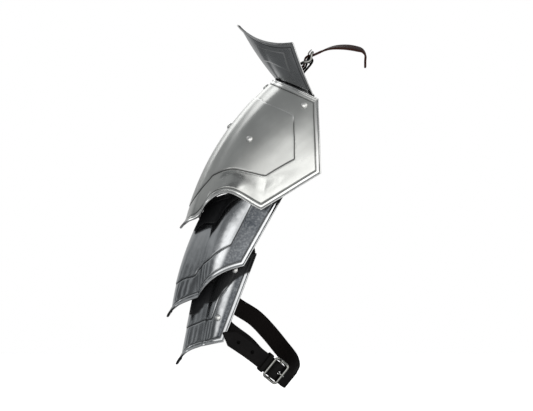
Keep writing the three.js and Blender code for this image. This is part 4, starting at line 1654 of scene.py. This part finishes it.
@dataclass
class Strap:
    """A strap of leather along a route, with a crease pressed along both edges and holes punched in it."""

    name: str
    route: Array
    across: Callable[[float], Triple]
    outward: Triple
    pointed: bool = False
    cuts: tuple[Cut, ...] = ()
    corner: float = 0.75
    crease_at: float = 2.1  # distance of the pressed line from the edge
    crease_depth: float = 0.3
    crease_width: float = 0.5
    punch: float = 1.9  # radius of a punched hole

    def section(self) -> tuple[Array, Array]:
        """Draws the strap's section.

        Returns:
            Its outline, and how much of each of its points is raw edge or flesh.
        """
        half, lift, c = STRAP_WIDTH / 2, HIDE / 2, self.corner
        near = [c, *(self.crease_at + step for step in (0, 0.5, 0.8, 1.1))]
        flat = np.concatenate([half - np.array(near), np.linspace(half - 2 * self.crease_at, 0, 5)])
        dip = self.crease_depth * bell(flat, half - self.crease_at, self.crease_width)
        top = np.stack([flat, lift - dip], axis=1)
        top = np.vstack([top, (top[:-1] * (-1, 1))[::-1]])
        bend = [(half - c + c * math.sin(a), lift - c + c * math.cos(a)) for a in np.radians([22, 45, 68, 90])]
        right = np.array([*bend, *[(x, -y) for x, y in bend[::-1]]])
        under = np.array([(x, -lift) for x in np.linspace(half - c, -half + c, 9)])
        left = (right * (-1, 1))[::-1]
        parts = ((top, 0), (left, 0.7), (under[::-1], 1), (right[::-1], 0.7))
        flesh = np.concatenate([np.full(len(part), share) for part, share in parts])
        return np.vstack([part for part, _ in parts]), flesh

    def frames(self) -> tuple[Array, Array, Array]:
        """Walks the route.

        Returns:
            The path, and the ways across it and out of it at each point.
        """
        dense = catmull(self.route, 24)
        path = evenly(dense, 1.1)
        along = unit(np.gradient(path, axis=0))
        reach, walk = reach_along(dense), reach_along(path)
        shares = np.interp(walk / walk[-1] * reach[-1], reach, np.linspace(0, 1, len(dense)))
        side = np.array([self.across(share) for share in shares], float)
        side = unit(side - (side * along).sum(axis=1, keepdims=True) * along)
        lift = np.cross(along, side)
        if np.dot(lift[len(lift) * 3 // 4], self.outward) < 0:
            lift, side = -lift, -side
        return path, side, lift

    def build(self, finish: Material, slot: str) -> Piece:
        """Makes the strap, punches it and dresses it.

        Args:
            finish: its material.
            slot: the record's name for that finish; not used.

        Returns:
            The piece.
        """
        path, side, lift = self.frames()
        outline, flesh = self.section()
        walk = reach_along(path)
        left = np.minimum((walk[-1] - walk) / TIP_LENGTH, 1)
        width = np.minimum(0.1 + 1.05 * left, 1) if self.pointed else np.ones(len(path))
        ends = np.clip(np.minimum(walk, walk[-1] - walk) / 0.6, 0, 1) ** 0.5 * 0.25 + 0.75
        grid = swept(path, side, lift, outline, np.stack([width, ends], axis=1))
        across, along = np.tile(outline[:, 0], len(path)), np.repeat(walk, len(outline))
        layers = {"skin": np.stack([across, along, 0 * along], axis=1), "flesh": np.tile(flesh, len(path))}
        piece = tube_piece(f"{self.name}_hide", [(grid, False)], layers)
        return dress(self.punched(piece, finish) if self.cuts else piece, finish, [self.name])

    def punched(self, piece: Piece, finish: Material) -> Piece:
        """Cuts the holes through the strap.

        Args:
            piece: the whole strap.
            finish: its material.

        Returns:
            The punched strap.
        """
        path, side, lift = self.frames()
        walk = reach_along(path)
        spots = [int(np.argmin(np.abs(walk - cut.reach))) for cut in self.cuts]
        turns = []
        for k in spots:
            along = np.cross(side[k], lift[k])
            turns.append(list(Matrix([along, side[k], np.cross(along, side[k])]).transposed().to_euler()))
        layers = {"turn": np.array(turns), "stretch": np.array([cut.shape.value for cut in self.cuts])}
        points = make_piece(f"{self.name}_punches", path[spots], [], layers)
        t = GeometryTree("punched strap", {"Radius": self.punch, "Depth": 4 * HIDE})
        where = t.add("GeometryNodeObjectInfo", {"Object": points}).outputs["Geometry"]
        sizes = {"Vertices": 20, "Radius": t.size("Radius"), "Depth": t.size("Depth")}
        tool = t.add("GeometryNodeMeshCylinder", sizes).outputs["Mesh"]
        tools = t.spread(where, tool, Scale=t.vector(t.named("stretch"), 1.0, 1.0))
        solids = {"Mesh 1": t.start.outputs["Geometry"], "Mesh 2": t.realized(tools)}
        t.end(t.add("GeometryNodeMeshBoolean", solids, operation="DIFFERENCE", solver="EXACT").outputs[0])
        name = piece.name
        piece.name = f"{name}_uncut"
        made = t.run(piece, name, finish)
        bpy.data.objects.remove(points)
        return made


def rounded_loop(half_x: float, low: float, high: float, corner: float, steps: int) -> Array:
    """Draws a rectangle with rounded corners, as wide to both sides of the origin.

    Args:
        half_x: half of its width.
        low: its lowest place.
        high: its highest place.
        corner: the radius of its corners.
        steps: how many steps a corner has.

    Returns:
        The loop's points, anticlockwise, evenly spaced; the last one isn't the first again.
    """
    turn = np.radians(np.linspace(0, 90, steps + 1))
    arc = corner * np.stack([np.cos(turn), np.sin(turn)], axis=1)
    loop = []
    for k, (x, z) in enumerate(((half_x, high), (-half_x, high), (-half_x, low), (half_x, low))):
        quarter = np.radians(90 * k)
        spin = np.array([[math.cos(quarter), math.sin(quarter)], [-math.sin(quarter), math.cos(quarter)]])
        centre = np.array([x - math.copysign(corner, x), z - (corner if z == high else -corner)])
        loop.append(centre + arc @ spin)
    return evenly(np.vstack([*loop, loop[0][:1]]), LOOP_PACE)[:-1]


@dataclass
class Buckle:
    """A wire frame with a prong that turns on its middle bar and rests on the wire at one end."""

    name: str
    seat: Seat
    corner: float = 3.2
    prong: float = 1.15  # half of the prong's width
    sides: int = 14

    def ring(self, wide: float, high: float) -> Array:
        """Returns a round section with two radii."""
        turn = np.linspace(0, 2 * math.pi, self.sides, endpoint=False)
        return np.stack([np.cos(turn) * wide, np.sin(turn) * high], axis=1)

    def frame_piece(self, finish: Material) -> Piece:
        """Makes the wire frame and its middle bar.

        Args:
            finish: its material.

        Returns:
            The piece.
        """
        x, _, z = self.seat.axes()
        wire = self.ring(WIRE, WIRE)
        flat = rounded_loop(FRAME_HALF, -FRAME_ACROSS, FRAME_ACROSS, self.corner, 8)
        dip = -BAR_DROP * np.cos(np.minimum(np.abs(flat[:, 0]) / FRAME_HALF, 1) * math.pi / 2) ** 2
        loop = looped(self.seat.put(np.stack([flat[:, 0], flat[:, 1], dip], axis=1)), z, wire)
        bar = self.seat.put([(0, y, -BAR_DROP) for y in np.linspace(-FRAME_ACROSS, FRAME_ACROSS, 5)])
        sides, lifts = np.broadcast_to(x, bar.shape), np.broadcast_to(z, bar.shape)
        rod = swept(bar, sides, lifts, wire, np.ones((len(bar), 2)))
        piece = tube_piece(f"{self.name}_wire", [(loop, True), (rod, False)], {})
        return dress(piece, finish, [self.name])

    def prong_piece(self, finish: Material) -> Piece:
        """Makes the prong: an eye round the middle bar and a tapered tongue.

        Args:
            finish: its material.

        Returns:
            The piece.
        """
        _, y, _ = self.seat.axes()
        eye = WIRE + GAP + self.prong / 2
        turn = np.linspace(0, 2 * math.pi, 30, endpoint=False)
        circle = np.stack([eye * np.cos(turn), 0 * turn, eye * np.sin(turn) - BAR_DROP], axis=1)
        ring = looped(self.seat.put(circle), y, self.ring(self.prong / 2, self.prong))
        tongue = [(eye, 0, 0.6 - BAR_DROP), (3.3, 0, -0.7), (4.4, 0, 2.0), (6.2, 0, 2.75)]
        tongue += [(FRAME_HALF, 0, 2.95), (FRAME_HALF + WIRE + 0.4, 0, 2.8)]
        path = self.seat.put(catmull(np.array(tongue), 6))
        side = np.broadcast_to(y, path.shape)
        taper = np.linspace(1, 0.62, len(path))
        taper[-3:] *= (0.93, 0.75, 0.3)
        lift = np.cross(unit(np.gradient(path, axis=0)), side)
        rod = swept(path, side, lift, self.ring(self.prong, self.prong * 0.85), np.stack([taper, taper], 1))
        piece = tube_piece(f"{self.name}_prong_tongue", [(ring, True), (rod, False)], {})
        return dress(piece, finish, [f"{self.name}_prong"])


@dataclass
class Keeper:
    """A leather ring round the chape and the long end of a strap."""

    name: str
    seat: Seat
    width: float = 5.0
    wall: float = 1.6
    middle: float = -13.5
    corner: float = 2.2
    slack_under: float = 0.3  # how much more play it has than other pieces
    slack_over: float = 0.4

    def build(self, finish: Material) -> Piece:
        """Makes the keeper and dresses it.

        Args:
            finish: its material.

        Returns:
            The piece.
        """
        reach = GAP + self.wall / 2
        low = LOWER_PLY - HIDE / 2 - reach - self.slack_under
        high = TOP_PLY + HIDE / 2 + reach + self.slack_over
        flat = rounded_loop(STRAP_WIDTH / 2 + reach, low, high, self.corner, 6)
        path = self.seat.put(np.stack([0 * flat[:, 0] + self.middle, flat[:, 0], flat[:, 1]], axis=1))
        section = rounded_loop(self.wall / 2, -self.width / 2, self.width / 2, 0.55, 3)
        grid = looped(path, self.seat.axes()[0], section)
        edge = np.tile(ease(np.abs(section[:, 1]), self.width / 2 - 0.5, self.width / 2), len(path))
        walk = np.repeat(np.arange(len(path)) * LOOP_PACE, len(section))
        skin = np.stack([np.tile(section[:, 1], len(path)), walk, 0 * walk], axis=1)
        piece = tube_piece(f"{self.name}_hide", [(grid, True)], {"skin": skin, "flesh": edge})
        return dress(piece, finish, [self.name])


BEHIND_LAME = STEEL + STRAP_PLAY + HIDE / 2
BEHIND_GUARD = GRIP_GUARD - GAP + PLAY / 2 + HIDE / 2


@dataclass
class ArmStrap:
    """The strap that hangs slack from the lower lame, with its buckle and keeper."""

    seat: Seat = Seat((6.5, -52, -304.9), (0.75, 0.28, -0.6), (0.64, 0, 0.77))
    across: Triple = (0.64, 0, 0.77)
    lame_across: Triple = (0.53, -0.2, 0.79)

    def turned(self, share: float, side: int) -> Triple:
        """Returns the way across the strap, a share of the way to lying along the lame on one side."""
        x, y, z = self.lame_across
        return tuple(mix(np.array(self.across), np.array((x, y * side, z)), share))

    def chape(self) -> Strap:
        """Routes the short end that carries the buckle.

        Returns:
            The strap.
        """
        route = [
            *self.seat.put(chape_fold()),
            (-26, -49.5, -276),
            LOWER.under(1.9, 19, BEHIND_LAME - 1),
            LOWER.under(STRAP_RIVET_COLUMN, 10.3, BEHIND_LAME),
            LOWER.under(1.48, 5, BEHIND_LAME + 2.6),
        ]
        chape = Strap("arm_chape", np.array(route), lambda s: self.turned(s**5, 1), (0, -1, 0))
        chape.cuts = (Cut(reach_of(chape, self.seat, (FOLD_RADIUS, 0, -BAR_DROP)), Punch.SLOT),)
        return chape

    def billet(self) -> Strap:
        """Routes the long punched end.

        Returns:
            The strap.
        """
        route = [
            LOWER.under(-1.44, -20, BEHIND_LAME + 1.6),
            LOWER.under(-STRAP_RIVET_COLUMN, -14, BEHIND_LAME),
            LOWER.under(-1.9, -6, BEHIND_LAME - 0.5),
            (-17, 48, -250), (-3, 45, -264), (12, 36, -282), (23, 16, -296), (26, -6, -306),
            (23.5, -27, -312.5),
            *self.seat.put(billet_climb()),
            (-27, -57, -279), (-42, -60, -269), (-51, -60, -263.5),
        ]
        billet = Strap("arm_billet", np.array(route), lambda s: self.turned((1 - s) ** 6, -1), (0, -1, 0))
        billet.pointed, billet.cuts = True, hole_row(billet, self.seat)
        return billet

    def build(self, hide: Material, steel: Material) -> list[Piece]:
        """Makes the strap's two ends, the buckle, its prong and the keeper."""
        straps = [strap.build(hide, "black_leather") for strap in (self.chape(), self.billet())]
        buckle = Buckle("arm_buckle", self.seat)
        metal = [buckle.frame_piece(steel), buckle.prong_piece(steel)]
        return [*straps, *metal, Keeper("arm_keeper", self.seat).build(hide)]


def reach_of(strap: Strap, seat: Seat, place: Triple) -> float:
    """Returns how far along a strap it comes nearest to a place in its buckle's axes."""
    path, _, _ = strap.frames()
    return float(reach_along(path)[np.argmin(np.linalg.norm(path - seat.put([place])[0], axis=1))])


def hole_row(strap: Strap, seat: Seat) -> tuple[Cut, ...]:
    """Spaces punched holes along a strap, from the one that its prong is in.

    Args:
        strap: the strap.
        seat: the axes of its buckle.

    Returns:
        The cuts.
    """
    path, _, _ = strap.frames()
    used = reach_of(strap, seat, (3.6, 0, -0.4))
    reaches = np.arange(used + HOLE_PITCH, reach_along(path)[-1] - TIP_LENGTH, HOLE_PITCH)
    return (Cut(used, Punch.LONG), *(Cut(float(reach), Punch.ROUND) for reach in reaches))


@dataclass
class ShoulderStrap:
    """The strap that arches from behind the neck guard towards the gorget, with its buckle."""

    seat: Seat = Seat((40.3, 0, 34.7), (1, 0, 1), (0, 1, 0))
    lean: float = 16.0  # degrees
    arch: Pair = (0.06, 0.42)  # shares of the route between which it leans

    def chape(self) -> Strap:
        """Routes the short end, riveted under the guard.

        Returns:
            The strap.
        """
        route = [
            *self.seat.put(chape_fold()[:-1]),
            (14, 0, 11.5),
            SHOULDER.under(0, 0.01, BEHIND_GUARD + 0.6),
            SHOULDER.under(0, 0.075, BEHIND_GUARD),
            SHOULDER.under(0, 0.14, BEHIND_GUARD + 0.4),
        ]
        chape = Strap("shoulder_chape", np.array(route), lambda s: (0, 1, 0), (-1, 0, 1))
        chape.cuts = (Cut(reach_of(chape, self.seat, (FOLD_RADIUS, 0, -BAR_DROP)), Punch.SLOT),)
        return chape

    def leaning(self, share: float) -> Triple:
        """Returns the way across the long end, which leans towards the chest at the top of its arch."""
        start, end = self.arch
        turn = math.radians(self.lean) * math.sin(math.pi * min(max((share - start) / (end - start), 0), 1))
        return 0, math.cos(turn), math.sin(turn)

    def long_end(self) -> Strap:
        """Routes the long end that would go on to the gorget.

        Returns:
            The strap.
        """
        arch = [(104, 24), (104, 31), (104, 38), (100.5, 42.8), (94, 44.9), (84.6, 46.4), (72.7, 46.4)]
        route = [*((x, 0, z) for x, z in (*arch, (63.4, 44.6))), *self.seat.put(billet_climb()[1:-1])]
        strap = Strap("shoulder_strap", np.array(route), self.leaning, (-1, 0, 1), pointed=True)
        strap.cuts = hole_row(strap, self.seat)
        return strap

    def build(self, black: Material, brown: Material, steel: Material) -> list[Piece]:
        """Makes both ends of the strap, the buckle and its prong."""
        straps = [self.chape().build(black, "black_leather"), self.long_end().build(brown, "brown_leather")]
        buckle = Buckle("shoulder_buckle", self.seat)
        return [*straps, buckle.frame_piece(steel), buckle.prong_piece(steel)]


# ---- studio


@dataclass(frozen=True)
class Card:
    """A flat card round the object, lit or black: from one bearing and height to another, and how bright.

    Bearings are degrees from straight in front, negative on the viewer's left; a height is the sine of the
    angle above the level.
    """

    bearing: Pair
    height: Pair
    light: float
    blur: float = 7.0  # degrees over which its upright sides fade
    blur_height: float = 0.07


CARDS = (
    Card((-200, 200), (0.5, 1.5), 0.32, blur_height=0.16),  # ceiling
    Card((-200, -150), (-0.2, 0.5), 0.50, 14),  # grey wall behind on the left
    Card((-86, -66), (0.22, 0.5), 0.40, 8, 0.08),  # lit card, high on the left
    Card((-78, -54), (0.27, 0.5), 0.16, 3, 0.03),  # black flag before it
    Card((-64, -38), (0.08, 0.20), 1.2, 4, 0.03),  # bright card under the flag
    Card((-56, -36), (0.17, 0.29), 1.9, 4, 0.03),  # brighter one beside it
    Card((-42, 24), (-0.2, 0.36), 1.22, 6, 0.10),  # large lit card in front
    Card((-25, 8), (-0.15, 0.2), 1.75, 7, 0.08),  # its brightest part
    Card((-24, -13), (0.32, 0.42), 2.8, 3, 0.03),  # small lamp over it
    Card((-52, -33), (0.36, 0.56), 0.10, 4, 0.04),  # small black flag beside the lamp
    Card((28, 96), (-0.3, 0.7), 1.20, 7, 0.10),  # lit strip on the right
    Card((-136, -62), (-0.3, 0.22), 0.10, 7, 0.08),  # black cloth on the left
    Card((-128, -120), (-0.4, 0.45), 0.30, 3, 0.10),  # gap in it
    Card((-103, -95), (-0.1, 0.3), 0.30, 3, 0.06),  # second gap
    Card((-84, -79), (-0.2, 0.45), 0.34, 2, 0.06),  # third gap
    Card((-150, -40), (-1.5, -0.24), 0.13, 12, 0.08),  # dark table below on the left
    Card((-200, -152), (-1.5, -0.24), 0.62, 10, 0.08),  # pale table below behind
    Card((-30, 40), (-1.5, -0.24), 0.60, 10, 0.08),  # pale table below in front
    Card((104, 150), (-1.5, 0.45), 0.08, 8, 0.10),  # dark side on the right
)


@dataclass(frozen=True)
class Softbox:
    """A soft lamp that faces the object."""

    name: str
    place: Triple
    size: Pair
    power: float


SOFTBOXES = (
    Softbox("low front softbox", (0.15, -1.6, -0.12), (0.28, 0.5), 0.5),
    Softbox("back softbox", (-0.6, 1.5, 0.9), (1.4, 1.0), 6),
)


@dataclass(frozen=True)
class Studio:
    """A pale floor, cards lit and black all round, softboxes and the camera in front."""

    floor_level: float = -0.42
    floor_size: float = 8.0
    distance: float = 5.0
    fill: float = 0.88  # share of the picture's height that the object takes
    picture: Pair = (533, 411)
    open_room: float = 0.40  # brightness between the cards
    aim: Triple = (-0.01, 0, -0.12)  # where the softboxes point

    def build(self) -> None:
        """Sets up the floor, the cards, the lamps and the camera."""
        self.floor()
        self.surround()
        self.lights()
        self.camera()
        bpy.context.scene.view_settings.view_transform = "Standard"

    def floor(self) -> None:
        """Lays the floor, which is left out of the steel's reflections so that the cards show in them."""
        half, z = self.floor_size / 2, self.floor_level
        mesh = bpy.data.meshes.new("floor")
        corners = [(x * half, y * half, z) for x, y in ((-1, -1), (1, -1), (1, 1), (-1, 1))]
        mesh.from_pydata(corners, [], [range(4)])
        material, n = new_material("pale floor")
        tint = n.blend(n.noise(n.place(), 3, 2), (0.90, 0.90, 0.90, 1), (0.92, 0.92, 0.92, 1))
        n.finish(Base_Color=tint, Roughness=0.9, Emission_Color=(1, 1, 1, 1), Emission_Strength=0.8)
        mesh.materials.append(material)
        floor = placed("floor", mesh)
        floor.visible_glossy = False
        floor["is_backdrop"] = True

    def surround(self) -> None:
        """Sets the cards up round the object, in front of plain white that only the camera sees."""
        world = bpy.data.worlds.new("studio")
        world.use_nodes = True
        bpy.context.scene.world = world
        n = Nodes(world.node_tree)
        x, y, z = n.add("ShaderNodeSeparateXYZ", {0: n.add("ShaderNodeTexCoord").outputs["Generated"]}).outputs
        bearing = n.math("MULTIPLY", n.math("ARCTAN2", x, n.math("MULTIPLY", y, -1)), 180 / math.pi)
        value = self.open_room
        for card in CARDS:
            value = n.number_mix(self.mask(n, card, bearing, z), value, card.light)
        tint = n.blend(n.span(value, 0.05, 0.7, 0, 1), (0.93, 0.97, 1.0, 1), (1, 0.998, 0.99, 1))
        around = n.add("ShaderNodeBackground", {"Color": tint, "Strength": value}).outputs[0]
        behind = n.add("ShaderNodeBackground", {"Color": (1, 1, 1, 1), "Strength": 1.0}).outputs[0]
        seen = n.add("ShaderNodeLightPath").outputs["Is Camera Ray"]
        choice = n.add("ShaderNodeMixShader", {0: seen, 1: around, 2: behind}).outputs[0]
        n.add("ShaderNodeOutputWorld", {"Surface": choice})

    @staticmethod
    def mask(n: Nodes, card: Card, bearing: Socket, height: Socket) -> Socket:
        """Masks the directions that a card covers.

        Args:
            n: the world's tree.
            card: the card.
            bearing: the direction's bearing.
            height: the direction's height.

        Returns:
            1 on the card, fading to 0 over its borders.
        """
        share = 1.0
        sides = ((bearing, card.bearing, card.blur), (height, card.height, card.blur_height))
        for value, (low, high), blur in sides:
            share = n.math("MULTIPLY", n.span(value, low - blur, low + blur, 0, 1), share)
            share = n.math("MULTIPLY", n.span(value, high - blur, high + blur, 1, 0), share)
        return share

    def lights(self) -> None:
        """Hangs the softboxes."""
        for box in SOFTBOXES:
            lamp = bpy.data.lights.new(box.name, "AREA")
            lamp.shape = "RECTANGLE"
            lamp.size, lamp.size_y = box.size
            lamp.energy = box.power
            holder = placed(box.name, lamp)
            holder.location = box.place
            holder.rotation_euler = (Vector(self.aim) - Vector(box.place)).to_track_quat("-Z", "Y").to_euler()

    def camera(self) -> None:
        """Sets the camera in front, level with the object's middle."""
        low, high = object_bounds()
        middle = (low + high) / 2
        data = bpy.data.cameras.new("camera")
        width = (high.z - low.z) / self.fill * self.picture[0] / self.picture[1]
        data.lens = data.sensor_width * self.distance / width
        camera = placed("camera", data)
        camera.location = (middle.x, middle.y - self.distance, middle.z)
        camera.rotation_euler = (math.pi / 2, 0, 0)
        bpy.context.scene.camera = camera


# ---- the whole


def main() -> None:
    """Builds the pauldron and its studio."""
    logging.basicConfig(level=logging.INFO, format="%(message)s", stream=sys.stdout, force=True)
    plates = all_plates()
    for plate in plates.values():
        plate.build()
    NeckGuard().build()
    RivetSet(all_rivets()).build(plates)
    black = Leather("black leather", Hide.BLACK).build()
    brown = Leather("brown leather", Hide.BROWN, roughness=0.42).build()
    buckle_steel = SmallSteel("buckle steel", tone=(0.34, 0.34, 0.32), roughness=0.17).build()
    for leather in all_leathers():
        leather.build(black)
    ArmStrap().build(black, buckle_steel)
    ShoulderStrap().build(black, brown, buckle_steel)
    Studio().build()


if __name__ == "__main__":
    main()
